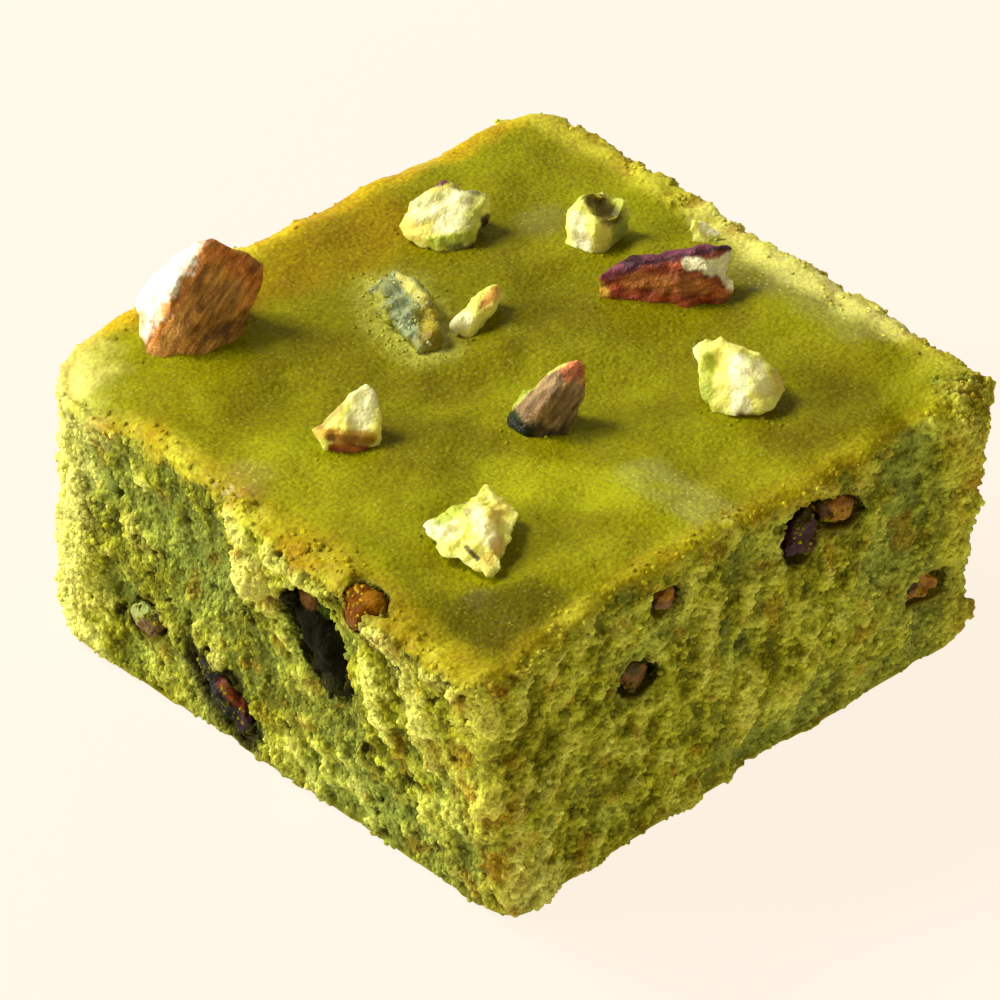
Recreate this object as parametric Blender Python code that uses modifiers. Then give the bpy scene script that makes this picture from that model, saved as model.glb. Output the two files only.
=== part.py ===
"""A square of pistachio barfi: a soft milk-fudge block with a smooth top and crumbly knife-cut sides,
chopped nuts pressed into the top and pieces of nut showing in the cuts.

Metres, +Z up. The origin is the middle of the flat underside. The face that looks along -X and the one
that looks along -Y are the two cut sides that the eye meets first.
"""

import math
from typing import NamedTuple

import bmesh
import bpy
from mathutils import Matrix, Vector, noise

MM = 0.001

# Driving dimensions of the block
WIDTH = 43.0 * MM       # along X
DEPTH = 42.4 * MM       # along Y
HEIGHT = 19.5 * MM      # to the smooth top
GRID = 0.58 * MM        # spacing of the points that carry the crumbly relief
KEPT_FACES = 0.148      # share of the relief's triangles that the finished block keeps
FOOT = 0.3 * MM         # what ends lower than this is pressed flat on the plate

# Rounding of the block's edges, before the crumbs
RIM_RADIUS = 1.5 * MM
LEFT_CORNER_RIM = 3.4 * MM      # the rim rolls over further at the corner -X +Y
FOOT_RADIUS = 0.5 * MM
FRONT_CORNER_RADIUS = 1.7 * MM
BACK_CORNER_RADIUS = 3.2 * MM
LEFT_CORNER_RADIUS = 5.0 * MM   # the corner -X +Y is worn the most

# How far down from the top the smooth skin wraps over the rim, and how much further at the corner -X +Y
SKIN_DROP = 1.1 * MM
LEFT_SKIN_DROP = 3.0 * MM

# How far the knife strayed from a true box at the eight corners, as x, y, z in millimetres
CORNER_STRAY = {
    (-1, -1, 0): (1.8, -0.6, 0.0),
    (1, -1, 0): (-0.5, 0.8, 0.0),
    (-1, 1, 0): (-0.1, -0.5, 0.0),
    (1, 1, 0): (0.0, -0.6, 0.0),
    (-1, -1, 1): (-0.5, -0.1, -0.5),
    (1, -1, 1): (0.5, 0.0, 0.1),
    (-1, 1, 1): (1.2, 0.6, 0.0),
    (1, 1, 1): (1.1, 0.5, -0.2),
}

# Nuts: the gap between a nut and the fudge round it, and the faces of a finished piece of nut
NUT_GAP = 0.32 * MM
NUT_GRAIN = 24          # voxels along the longest side of a piece of nut
TOP_NUT_FACES = 260
CUT_NUT_FACES = 120

# The corners of the nuts on top are given as seen across the corner between the two cut sides
LOOK_TURN = math.radians(-42)


class Swell(NamedTuple):
    """A bulge (amount above 0) or a hollow in a side, in millimetres along the side and up it."""

    side: str
    along: float
    height: float
    reach: float
    rise: float
    amount: float


class TopNut(NamedTuple):
    """A broken piece on top: where it lies, and its corners as right, away and up in millimetres.

    A scoop is a round hollow broken out of it, as the ball's right, away, up and radius.
    """

    place: tuple
    colour: tuple
    corners: tuple
    scoops: tuple = ()


class CutNut(NamedTuple):
    """A piece that the knife uncovered: side, millimetres along it, up it and behind its face."""

    side: str
    along: float
    height: float
    behind: float
    size: tuple
    lean: float
    colour: tuple = (0.10, 0.06, 0.01)


SWELLS = (
    # The -X side: a lip of smooth skin, a step down beyond the crest at y 0, and the hollow of the dark nut
    Swell("-x", -11.0, 18.2, 8.0, 1.6, 0.6),
    Swell("-x", -5.2, 18.2, 2.2, 1.8, 0.9),
    Swell("-x", -0.4, 13.5, 1.4, 6.5, 0.9),
    Swell("-x", 6.6, 12.0, 4.6, 5.0, -0.9),
    Swell("-x", -5.8, 13.0, 2.4, 3.0, -2.2),
    Swell("-x", -13.0, 9.5, 3.4, 5.0, 0.5),
    Swell("-x", 15.8, 5.2, 2.4, 2.8, 0.7),
    Swell("-x", 13.0, 5.9, 1.2, 1.2, -1.4),
    Swell("-x", 4.2, 2.2, 4.0, 1.7, -0.9),
    Swell("-x", -14.0, 3.6, 1.5, 1.3, -0.7),
    Swell("-x", 17.5, 14.5, 2.0, 1.2, -0.5),
    # The -Y side: a groove under the skin, the broken rim near +X, pits where nuts fell out, a notched foot
    Swell("-y", 1.0, 16.9, 15.0, 1.1, -0.6),
    Swell("-y", 14.6, 17.6, 1.8, 2.8, -1.9),
    Swell("-y", 18.6, 17.4, 2.0, 2.2, 0.9),
    Swell("-y", 12.2, 10.4, 2.0, 2.2, -1.0),
    Swell("-y", 6.4, 15.6, 2.8, 1.6, -1.0),
    Swell("-y", -8.3, 11.7, 1.4, 1.2, -1.7),
    Swell("-y", -6.0, 14.2, 4.2, 0.9, -0.7),
    Swell("-y", -10.2, 2.8, 1.4, 1.3, -1.5),
    Swell("-y", -18.0, 1.2, 2.4, 2.6, 0.9),
    Swell("-y", -14.0, 9.0, 1.2, 6.0, -0.5),
    Swell("-y", 16.9, 5.4, 2.2, 1.5, -1.3),
    Swell("-y", 2.6, 0.8, 3.2, 2.0, -1.2),
    Swell("-y", 13.0, 0.8, 5.0, 1.5, -0.6),
    Swell("-y", 0.6, 9.6, 0.9, 1.8, -1.0),
    Swell("-y", 4.4, 7.0, 3.2, 3.2, 0.5),
    # The two sides behind, broken in the same way
    Swell("+x", -9.5, 11.0, 2.6, 2.2, -1.4),
    Swell("+x", 5.0, 6.0, 3.4, 3.0, 0.6),
    Swell("+x", 10.0, 14.5, 1.8, 2.4, -1.2),
    Swell("+x", 0.5, 17.0, 2.6, 1.6, -0.8),
    Swell("+y", -9.0, 8.0, 2.4, 2.6, -1.3),
    Swell("+y", 2.0, 13.0, 3.6, 2.6, 0.6),
    Swell("+y", 10.5, 5.5, 2.0, 1.8, -1.2),
    Swell("+y", -15.0, 15.0, 2.2, 2.2, -0.7),
)

# Dips in the smooth top (a rise where the depth is below 0), as x, y, reach and depth in millimetres
TOP_DIPS = (
    (-18.0, -18.5, 6.5, 0.9),
    (-20.5, 16.5, 6.0, 1.2),
    (-6.0, 4.5, 6.0, 0.2),
    (7.5, -3.4, 5.5, 0.2),
    (9.5, -15.4, 4.0, 0.2),
    (19.5, -9.5, 4.0, -0.3),
    (14.2, -20.4, 2.2, 0.9),
    (-8.0, -16.0, 4.5, -0.35),
    (20.0, 4.5, 3.0, 0.35),
)

TOP_NUTS = {
    # A thick piece with its brown papery skin towards the eye and a pale broken face to the left
    "nut_brown_skin": TopNut((-11.5, 16.0), (0.17, 0.08, 0.02), (
        (-2.8, -2.2, -0.9), (0.2, -2.4, -0.9), (2.8, -0.5, -0.9), (-3.7, 1.0, -0.6), (-3.5, 1.0, 2.2),
        (-1.2, -1.1, 4.1), (-1.2, 1.6, 4.6), (1.2, 1.3, 6.5), (4.6, 1.6, 4.2), (3.7, 1.2, 0.8),
        (0.6, 3.6, 3.6), (0.4, 3.2, -0.6),
    )),
    "nut_green_back": TopNut((7.4, 14.1), (0.80, 0.74, 0.24), (
        (-3.2, -0.9, 0.7), (-2.1, -1.8, 0.2), (0.5, -2.7, -0.5), (1.7, -2.4, -0.4), (1.6, -2.2, 1.3),
        (-0.9, -2.4, 1.1), (3.0, 0.5, 0.9), (2.8, 1.3, 2.3), (0.0, 1.7, 2.9), (-2.5, 0.2, 2.1),
        (0.2, 2.2, -0.6),
    ), ((-0.6, -1.2, 3.3, 1.5),)),
    "nut_cup": TopNut((14.0, 7.0), (0.82, 0.76, 0.30), (
        (-2.2, 0.5, 2.2), (-2.1, -0.9, -0.4), (-1.2, -2.0, -0.4), (0.3, -1.7, -0.4), (2.2, 0.3, 0.4),
        (1.9, 0.8, 2.5), (0.6, 1.5, 2.8), (-1.2, 1.1, 2.8), (0.0, -1.0, 1.9), (0.4, 1.8, -0.5),
    ), ((0.5, 0.2, 2.9, 1.25),)),
    # A long piece with a purple back, a red-brown flank and a pale notch where it broke
    "nut_purple_red": TopNut((13.4, 0.2), (0.17, 0.04, 0.02), (
        (-4.5, -0.3, 0.9), (-4.2, -0.8, -0.5), (1.2, -2.2, -0.5), (4.0, -1.8, -0.3), (4.6, -1.3, 0.7),
        (-3.8, -0.6, 2.0), (0.4, -1.4, 2.7), (4.3, 0.8, 2.6), (2.6, 1.1, 2.8), (-2.2, 0.6, 2.1),
        (0.0, 1.6, -0.5),
    ), ((4.4, -1.4, 2.9, 1.9),)),
    "nut_sunken": TopNut((-1.1, 8.1), (0.30, 0.34, 0.12), (
        (-1.9, 4.0, 0.5), (-0.4, 4.2, 0.9), (1.2, 2.2, 1.3), (2.0, -1.5, 0.9), (2.0, -3.0, 0.4),
        (0.8, -3.2, 0.4), (-1.4, -0.5, 1.0), (-2.1, 1.8, 0.8), (0.6, 0.0, -2.4), (-0.9, 2.6, -2.2),
    )),
    "nut_sliver": TopNut((2.4, 5.3), (0.72, 0.56, 0.12), (
        (-2.0, -1.6, 0.2), (-0.6, -2.0, -0.5), (-1.8, -1.3, 0.9), (0.8, 0.5, -0.4), (1.9, 1.3, 1.0),
        (1.2, 1.9, 1.6), (-0.5, 0.4, 1.5), (0.5, -1.0, 1.2), (0.4, 1.4, -0.5),
    )),
    # A leaf of a kernel that stands on its edge, tip to the right
    "nut_dark_teardrop": TopNut((-2.0, -5.3), (0.26, 0.17, 0.07), (
        (-2.5, 0.1, 0.6), (-2.0, -1.2, -0.5), (-0.3, -1.4, -0.5), (1.4, -1.2, -0.4), (2.2, -0.5, 0.6),
        (2.9, 0.3, 2.2), (3.2, 1.2, 4.2), (2.2, 1.3, 4.3), (0.7, 1.0, 3.4), (-1.2, 0.6, 2.1),
        (0.4, -0.9, 2.3), (0.6, 1.6, -0.4),
    )),
    "nut_pale_flake": TopNut((9.0, -11.4), (0.82, 0.80, 0.28), (
        (-3.2, 2.3, 1.9), (-1.4, 3.0, 2.4), (-2.9, -1.2, 0.4), (-1.9, -1.9, -0.4), (-0.6, -2.8, 0.0),
        (1.9, -2.6, 0.2), (3.0, -0.9, 0.7), (1.8, 1.2, 1.9), (0.5, -1.1, 2.3), (0.2, 1.6, -0.5),
    ), ((-1.6, 0.4, 3.0, 1.5), (-2.9, 0.2, -0.3, 1.0))),
    "nut_cream_wedge": TopNut((-11.4, 1.5), (0.85, 0.74, 0.30), (
        (-2.3, -0.7, 0.8), (-1.5, -1.6, -0.5), (0.0, -1.9, -0.5), (1.9, -1.1, -0.4), (2.0, -0.9, 1.2),
        (-1.6, -1.5, 1.0), (1.9, 0.5, 2.3), (1.1, 1.1, 3.2), (-0.4, 0.5, 2.3), (0.4, 1.6, -0.4),
    )),
    "nut_crumbled": TopNut((-12.7, -11.4), (0.82, 0.74, 0.25), (
        (-3.4, 0.8, 0.5), (-1.8, 0.9, 1.2), (-0.9, 2.4, 1.5), (0.7, 3.6, 1.7), (2.7, 2.0, 1.2),
        (2.5, 0.2, 1.0), (1.6, -3.4, 0.3), (0.9, -4.1, 0.1), (-0.6, -2.5, 0.4), (-2.5, -1.1, 0.3),
        (0.6, -0.8, 2.1), (0.4, 0.2, -1.0),
    ), ((-1.1, -2.0, 1.6, 1.0),)),
    "nut_rim_crumb": TopNut((18.9, 2.6), (0.72, 0.66, 0.14), (
        (-1.1, 0.2, 0.6), (-0.6, -0.9, -0.4), (0.9, -0.8, -0.3), (1.3, 0.1, 0.5), (0.2, 0.5, 1.2),
        (0.0, 1.2, -0.4), (-0.6, 0.4, 1.1),
    )),
}

CUT_NUTS = {
    "cut_nut_dark": CutNut("-x", -5.9, 12.9, 2.3, (6.8, 3.2, 3.0), 52, (0.03, 0.02, 0.006)),
    "cut_nut_amber": CutNut("-x", -10.9, 18.0, 0.9, (3.4, 2.4, 2.4), 20, (0.26, 0.09, 0.005)),
    "cut_nut_low": CutNut("-x", 3.6, 3.1, 0.9, (6.6, 2.3, 2.2), 34, (0.08, 0.02, 0.01)),
    "cut_bit_grey": CutNut("-x", 10.6, 5.0, 0.6, (3.0, 2.4, 2.2), 10, (0.30, 0.32, 0.12)),
    "cut_nut_purple": CutNut("-y", 5.3, 15.6, 1.0, (3.8, 2.2, 2.8), 58, (0.06, 0.015, 0.012)),
    "cut_nut_tan": CutNut("-y", 8.6, 15.7, 1.3, (3.6, 2.2, 2.4), -20, (0.18, 0.10, 0.012)),
    "cut_bit_brown": CutNut("-y", -8.2, 11.7, 1.6, (2.9, 2.2, 2.4), -15),
    "cut_bit_rim": CutNut("-y", -5.8, 16.7, 0.9, (2.2, 1.8, 1.8), 60),
    "cut_bit_far": CutNut("-y", 16.9, 5.4, 1.5, (3.6, 1.9, 2.4), -10),
    "cut_nut_behind": CutNut("+x", -9.6, 11.0, 1.2, (5.4, 3.4, 2.8), -35),
    "cut_bit_behind": CutNut("+x", 9.8, 14.4, 1.0, (3.4, 2.6, 2.4), 15),
    "cut_nut_back": CutNut("+y", -9.0, 8.2, 1.2, (5.6, 3.2, 2.8), 40),
    "cut_bit_back": CutNut("+y", 10.4, 5.6, 1.1, (3.4, 2.4, 2.4), -25),
}

FUDGE_GREEN = (0.31, 0.30, 0.02)
FUDGE_ROUGHNESS = 0.6
NUT_ROUGHNESS = 0.5

# Facing direction of each side, and the direction in which "along" grows
SIDES = {
    "-x": (Vector((-1, 0, 0)), Vector((0, 1, 0))),
    "+x": (Vector((1, 0, 0)), Vector((0, 1, 0))),
    "-y": (Vector((0, -1, 0)), Vector((1, 0, 0))),
    "+y": (Vector((0, 1, 0)), Vector((1, 0, 0))),
}


def clear_scene():
    for obj in list(bpy.data.objects):
        bpy.data.objects.remove(obj, do_unlink=True)


def new_collection(name):
    collection = bpy.data.collections.new(name)
    bpy.context.scene.collection.children.link(collection)
    return collection


def plain_material(name, colour, roughness):
    material = bpy.data.materials.new(name)
    material.use_nodes = True
    shader = material.node_tree.nodes["Principled BSDF"]
    shader.inputs["Base Color"].default_value = (*colour, 1.0)
    shader.inputs["Roughness"].default_value = roughness
    shader.inputs["Metallic"].default_value = 0.0
    material.diffuse_color = (*colour, 1.0)
    return material


def mesh_object(name, bm, collection, material=None):
    """An object with the bmesh's surface, all of it facing outwards."""
    mesh = bpy.data.meshes.new(name)
    bmesh.ops.recalc_face_normals(bm, faces=bm.faces)
    bm.to_mesh(mesh)
    bm.free()
    obj = bpy.data.objects.new(name, mesh)
    collection.objects.link(obj)
    if material:
        mesh.materials.append(material)
    return obj


def settled_bmesh(obj):
    """The object's surface with its modifiers worked out."""
    bpy.context.view_layer.update()
    graph = bpy.context.evaluated_depsgraph_get()
    bm = bmesh.new()
    bm.from_object(obj, graph)
    return bm


def thinned_bmesh(obj, kept_share):
    """The object's surface with only this share of its triangles, the flat stretches thinned most."""
    thin = obj.modifiers.new("thin out", "DECIMATE")
    thin.ratio = kept_share
    bm = settled_bmesh(obj)
    obj.modifiers.remove(thin)
    bmesh.ops.triangulate(bm, faces=bm.faces)
    return bm


def bell(distance):
    """1 at 0, falling smoothly to nothing past about 2."""
    return math.exp(-distance * distance)


def ramp(low, high, value):
    """0 below low, 1 above high and a smooth step between."""
    share = min(1.0, max(0.0, (value - low) / (high - low)))
    return share * share * (3.0 - 2.0 * share)


# The block

def near_left_corner(point, reach):
    """1 at the upright edge -X +Y, falling off over the reach."""
    return bell((Vector((-WIDTH / 2, DEPTH / 2)) - point.xy).length / reach)


def upright_radius(point):
    if point.y < 0:
        return FRONT_CORNER_RADIUS
    return BACK_CORNER_RADIUS if point.x > 0 else LEFT_CORNER_RADIUS


def rounded_profile(point, inset):
    """Inset and height of a point of the box once the rim or the foot is rounded."""
    at_rim = point.z > HEIGHT / 2
    radius = RIM_RADIUS + (LEFT_CORNER_RIM - RIM_RADIUS) * near_left_corner(point, 8 * MM)
    if not at_rim:
        radius = FOOT_RADIUS
    from_end = HEIGHT - point.z if at_rim else point.z
    reach = Vector((radius - inset, radius - from_end))
    if min(reach) <= 0.0:
        return inset, point.z
    reach = reach.normalized() * max(reach)
    height = radius - reach.y
    return radius - reach.x, HEIGHT - height if at_rim else height


def round_edges(point):
    """Moves a point of the plain box onto the same box with rounded upright edges, rim and foot."""
    radius = upright_radius(point)
    from_sides = Vector((WIDTH / 2 - abs(point.x), DEPTH / 2 - abs(point.y)))
    inset, height = rounded_profile(point, min(from_sides))
    if max(from_sides) < radius:
        outward = Vector((radius - from_sides.x, radius - from_sides.y)).normalized()
        from_sides = Vector((radius, radius)) - outward * (radius - inset)
    elif from_sides.x < from_sides.y:
        from_sides.x = inset
    else:
        from_sides.y = inset
    return Vector((
        math.copysign(WIDTH / 2 - from_sides.x, point.x),
        math.copysign(DEPTH / 2 - from_sides.y, point.y),
        height,
    ))


def stray(point):
    """The shift of a point as the box's corners are moved, blended between the eight of them."""
    shift = Vector()
    for (right, far, top), offset in CORNER_STRAY.items():
        share = (
            (0.5 + right * point.x / WIDTH)
            * (0.5 + far * point.y / DEPTH)
            * (point.z / HEIGHT if top else 1 - point.z / HEIGHT)
        )
        shift += Vector(offset) * share * MM
    return shift


def facing(point):
    """Outward direction at a point of the rounded box, from how near each face it lies."""
    share = Vector((point.x / (WIDTH / 2), point.y / (DEPTH / 2), (point.z / HEIGHT - 0.5) * 2))
    return Vector([math.copysign(abs(value) ** 14, value) for value in share]).normalized()


def swell_at(point, outward):
    """The bulges and hollows of the sides, added up at this point."""
    total = 0.0
    for swell in SWELLS:
        face, run = SIDES[swell.side]
        weight = max(0.0, outward.dot(face)) ** 2
        if weight > 0.01:
            along = (point.dot(run) / MM - swell.along) / swell.reach
            up = (point.z / MM - swell.height) / swell.rise
            total += swell.amount * MM * weight * bell(math.hypot(along, up))
    return total


def crumb_relief(point):
    """Lumps, clods and grains of the cut fudge, from coarse to fine. Drag marks run down the sides."""
    clods = noise.noise(point / (5.5 * MM)) * 0.5
    streaks = noise.noise(Vector((point.x, point.y, point.z * 0.35)) / (1.9 * MM)) * 0.3
    near, second = noise.voronoi(point / (2.4 * MM))[0][:2]
    lumps = (second - near) * 0.85 - 0.25
    grains = noise.noise(point / (1.1 * MM)) * 0.3
    return (clods + streaks + lumps + grains) * MM


def top_relief(point):
    """Gentle rise and fall of the smooth top, and its named dips."""
    rise = noise.noise(Vector((point.x, point.y, 0)) / (8 * MM)) * 0.28
    rise += noise.noise(Vector((point.x, point.y, 9 * MM)) / (3 * MM)) * 0.07
    for x, y, reach, depth in TOP_DIPS:
        rise -= depth * bell(math.hypot(point.x / MM - x, point.y / MM - y) / reach)
    return rise * MM


def skin_line(point):
    """The height at which the smooth skin of the top gives way to the cut: ragged, and low on the left."""
    ragged = noise.noise(point / (2.6 * MM)) * 0.7 * MM
    return HEIGHT - SKIN_DROP - LEFT_SKIN_DROP * near_left_corner(point, 9 * MM) - ragged


def fudge_surface(point):
    """Carries a point of the plain box to the finished surface of the block."""
    rounded = round_edges(point)
    outward = facing(rounded)
    placed = rounded + stray(rounded)
    skin = skin_line(rounded)
    rough = 1.0 - ramp(skin - 0.8 * MM, skin + 0.5 * MM, placed.z)
    rough *= 0.3 + 0.7 * ramp(0.0, 1.4 * MM, placed.z)
    sideways = Vector((outward.x, outward.y, 0.0))
    across = sideways.length
    if across > 1e-3:
        lip = 0.25 * MM * ramp(skin, skin + 0.8 * MM, placed.z)
        push = swell_at(placed, outward) + crumb_relief(placed) * rough + lip
        placed += sideways.normalized() * push * min(1.0, across * 1.2)
    if outward.z > 0:
        placed.z += top_relief(placed) * ramp(0.0, 0.5, outward.z)
    return placed


def gridded_box():
    """A box with evenly spaced points all over it."""
    bm = bmesh.new()
    bmesh.ops.create_cube(bm, size=1.0)
    bmesh.ops.scale(bm, vec=(WIDTH, DEPTH, HEIGHT), verts=bm.verts)
    bmesh.ops.translate(bm, vec=(0, 0, HEIGHT / 2), verts=bm.verts)
    for axis, length in enumerate((WIDTH, DEPTH, HEIGHT)):
        edges = [e for e in bm.edges if abs(e.verts[0].co[axis] - e.verts[1].co[axis]) > length / 2]
        bmesh.ops.subdivide_edges(bm, edges=edges, cuts=round(length / GRID) - 1, use_grid_fill=True)
    return bm


def make_block(collection, helpers):
    rough = gridded_box()
    for vertex in rough.verts:
        vertex.co = fudge_surface(vertex.co)
    sculpted = mesh_object("sculpted_block", rough, helpers)
    finished = thinned_bmesh(sculpted, KEPT_FACES)
    bpy.data.objects.remove(sculpted)
    for vertex in finished.verts:
        if vertex.co.z < FOOT:
            vertex.co.z = 0.0
    material = plain_material("fudge", FUDGE_GREEN, FUDGE_ROUGHNESS)
    return mesh_object("barfi_block", finished, collection, material)


# The nuts

def cornered_chunk(corners):
    """The plain chunk between these corners, turned from the seen directions to the block's."""
    turn = Matrix.Rotation(LOOK_TURN, 3, "Z")
    bm = bmesh.new()
    for corner in corners:
        bm.verts.new(turn @ Vector(corner) * MM)
    bmesh.ops.convex_hull(bm, input=bm.verts)
    return bm


def sliced_kernel(size):
    """A kernel with a narrower end at +X, with one flat cut along it and one across."""
    bm = bmesh.new()
    bmesh.ops.create_icosphere(bm, subdivisions=4, radius=0.5 * MM)
    for vertex in bm.verts:
        narrow = 1.0 - 0.2 * ramp(-0.1 * MM, 0.5 * MM, vertex.co.x)
        vertex.co *= Vector((size[0], size[1] * narrow, size[2] * narrow))
    for slice_normal, left in ((Vector((0, 0.25, 1)), 0.6), (Vector((-1, -0.3, 0.3)), 0.85)):
        slice_normal.normalize()
        reach = max(vertex.co.dot(slice_normal) for vertex in bm.verts)
        bmesh.ops.bisect_plane(
            bm, geom=bm.verts[:] + bm.edges[:] + bm.faces[:],
            plane_co=slice_normal * reach * left, plane_no=slice_normal, clear_outer=True,
        )
        bmesh.ops.holes_fill(bm, edges=[edge for edge in bm.edges if edge.is_boundary])
    return bm


def scooped(point, scoops):
    """Moves a point that lies in a scoop out to the scoop's round floor."""
    turn = Matrix.Rotation(LOOK_TURN, 3, "Z")
    for right, away, up, radius in scoops:
        middle = turn @ Vector((right, away, up)) * MM
        offset = point - middle
        if offset.length < radius * MM:
            point = middle + offset.normalized() * radius * MM
    return point


def break_surface(piece, kept_faces, order, scoops=()):
    """Turns the plain chunk into a broken one: even faces, dents, ridges and scoops, then fewer faces."""
    longest = max(piece.dimensions)
    grain = piece.modifiers.new("even faces", "REMESH")
    grain.mode = "VOXEL"
    grain.voxel_size = longest / NUT_GRAIN
    even = settled_bmesh(piece)
    piece.modifiers.remove(grain)
    even.normal_update()
    own_noise = Vector((order * 3.7, order * 1.3, 0))
    for vertex in even.verts:
        place = vertex.co / (longest * 0.22) + own_noise
        depth = noise.noise(place) * 0.04 + noise.noise(place * 2.3) * 0.025
        vertex.co = scooped(vertex.co, scoops) + vertex.normal * depth * longest
    even.to_mesh(piece.data)
    thinned = thinned_bmesh(piece, kept_faces / (2 * len(even.faces)))
    even.free()
    thinned.to_mesh(piece.data)
    thinned.free()


def make_top_nut(name, nut, order, collection):
    """A nut with its corners about its place, at the height of the top there."""
    material = plain_material(name, nut.colour, NUT_ROUGHNESS)
    piece = mesh_object(name, cornered_chunk(nut.corners), collection, material)
    break_surface(piece, TOP_NUT_FACES, order, nut.scoops)
    on_top = Vector((nut.place[0] * MM, nut.place[1] * MM, HEIGHT))
    piece.location = on_top + Vector((0, 0, stray(on_top).z + top_relief(on_top)))
    return piece


def make_cut_nut(name, nut, order, collection):
    """A nut turned flat to its side of the block, leaned over and set behind the plain face of the cut."""
    material = plain_material(name, nut.colour, NUT_ROUGHNESS)
    piece = mesh_object(name, sliced_kernel(nut.size), collection, material)
    break_surface(piece, CUT_NUT_FACES, order)
    outward, run = SIDES[nut.side]
    up = Vector((0, 0, 1))
    flat = Matrix((run, up, run.cross(up))).transposed().to_4x4()
    piece.data.transform(flat @ Matrix.Rotation(math.radians(nut.lean), 4, "Z"))
    half = WIDTH / 2 if outward.x else DEPTH / 2
    on_face = outward * half + run * nut.along * MM + up * nut.height * MM
    piece.location = on_face + stray(on_face) - outward * nut.behind * MM
    return piece


def socket_cutter(piece, helpers):
    """The outer shape of a piece, grown by the gap: it hollows the fudge where the piece sits."""
    bm = bmesh.new()
    for vertex in piece.data.vertices:
        bm.verts.new(piece.location + vertex.co)
    hull = bmesh.ops.convex_hull(bm, input=bm.verts)
    bmesh.ops.delete(bm, geom=hull["geom_interior"], context="VERTS")
    bmesh.ops.recalc_face_normals(bm, faces=bm.faces)
    bm.normal_update()
    steps = [vertex.normal * min(vertex.calc_shell_factor(), 1.6) * NUT_GAP for vertex in bm.verts]
    for vertex, step in zip(bm.verts, steps):
        vertex.co += step
    cutter = mesh_object("socket_" + piece.name, bm, helpers)
    cutter.hide_render = True
    cutter.display_type = "WIRE"


def make_nuts(collection):
    on_top = [
        make_top_nut(name, nut, order, collection)
        for order, (name, nut) in enumerate(TOP_NUTS.items())
    ]
    in_cuts = [
        make_cut_nut(name, nut, order, collection)
        for order, (name, nut) in enumerate(CUT_NUTS.items(), start=len(on_top))
    ]
    return on_top + in_cuts


def cut_sockets(block, nuts, helpers):
    """Hollows the block wherever a nut sits in it."""
    for piece in nuts:
        socket_cutter(piece, helpers)
    sockets = block.modifiers.new("sockets", "BOOLEAN")
    sockets.operation = "DIFFERENCE"
    sockets.operand_type = "COLLECTION"
    sockets.collection = helpers
    sockets.solver = "EXACT"


def centre_on_origin(objects, block):
    """Puts the origin under the middle of the block."""
    corners = [Vector(corner) for corner in block.bound_box]
    middle_x = (min(corner.x for corner in corners) + max(corner.x for corner in corners)) / 2
    middle_y = (min(corner.y for corner in corners) + max(corner.y for corner in corners)) / 2
    for obj in objects:
        obj.location -= Vector((middle_x, middle_y, 0))


def main():
    clear_scene()
    barfi = new_collection("barfi")
    helpers = new_collection("cutters")
    nuts = make_nuts(barfi)
    block = make_block(barfi, helpers)
    cut_sockets(block, nuts, helpers)
    centre_on_origin([block, *nuts, *helpers.objects], block)


main()
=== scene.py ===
# %% [markdown]
# # A square of pistachio barfi
# Barfi is a milk fudge. It is spread in a tray, left to set, dotted with broken pistachios and cut into
# squares. So this one square has a smooth, slightly shiny top, four sides where the knife dragged and tore
# the grainy inside, eleven bits of nut that stand out of the top, and thirteen more that the knife cut
# through. The lesson dresses the solids of the part: it makes the fudge grainy, breaks crumbs off it,
# colours every nut one by one, and lights it all like the photograph.

import math
from typing import NamedTuple

import bmesh
import bpy
import numpy
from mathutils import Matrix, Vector, noise
from mathutils.bvhtree import BVHTree


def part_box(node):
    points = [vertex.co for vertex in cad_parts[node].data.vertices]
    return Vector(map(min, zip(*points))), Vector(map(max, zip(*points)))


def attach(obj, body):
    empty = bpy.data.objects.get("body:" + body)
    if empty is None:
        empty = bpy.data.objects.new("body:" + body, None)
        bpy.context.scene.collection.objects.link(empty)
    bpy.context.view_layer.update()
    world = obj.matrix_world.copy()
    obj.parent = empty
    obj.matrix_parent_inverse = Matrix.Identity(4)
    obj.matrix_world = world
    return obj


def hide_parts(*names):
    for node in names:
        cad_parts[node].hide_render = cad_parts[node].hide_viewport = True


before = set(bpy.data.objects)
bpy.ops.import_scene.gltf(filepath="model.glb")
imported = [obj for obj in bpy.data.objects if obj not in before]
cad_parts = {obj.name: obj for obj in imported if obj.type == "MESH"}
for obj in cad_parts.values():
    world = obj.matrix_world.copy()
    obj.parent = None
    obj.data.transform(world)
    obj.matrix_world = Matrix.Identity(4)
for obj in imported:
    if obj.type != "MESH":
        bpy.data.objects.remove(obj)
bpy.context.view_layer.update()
print("solids loaded:", len(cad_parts))

# %% [markdown]
# ## Units, directions and colours
# Blender counts in metres and this piece is 45 mm wide, so every size below is written in millimetres and
# multiplied by MM. The photograph looks down on the upright edge at -X -Y. Three directions follow from
# that: RIGHT and AWAY lie on the table, and PICTURE_UP points up in the picture. The colours are written as
# a screen shows them, from 0 to 255, and turned into the linear light values that Blender's shaders need.

# %% Units, directions and colours
MM = 0.001
LOOK_TURN = math.radians(-42)
LOOK_HEIGHT = math.radians(36.5)
RIGHT = Vector((math.cos(LOOK_TURN), math.sin(LOOK_TURN), 0))
AWAY = Vector((-math.sin(LOOK_TURN), math.cos(LOOK_TURN), 0))
TO_CAMERA = Vector((0, 0, math.sin(LOOK_HEIGHT))) - AWAY * math.cos(LOOK_HEIGHT)
PICTURE_UP = TO_CAMERA.cross(RIGHT)
WIDTH, DEPTH, HEIGHT = (high - low for low, high in zip(*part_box("barfi_block")))


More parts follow.
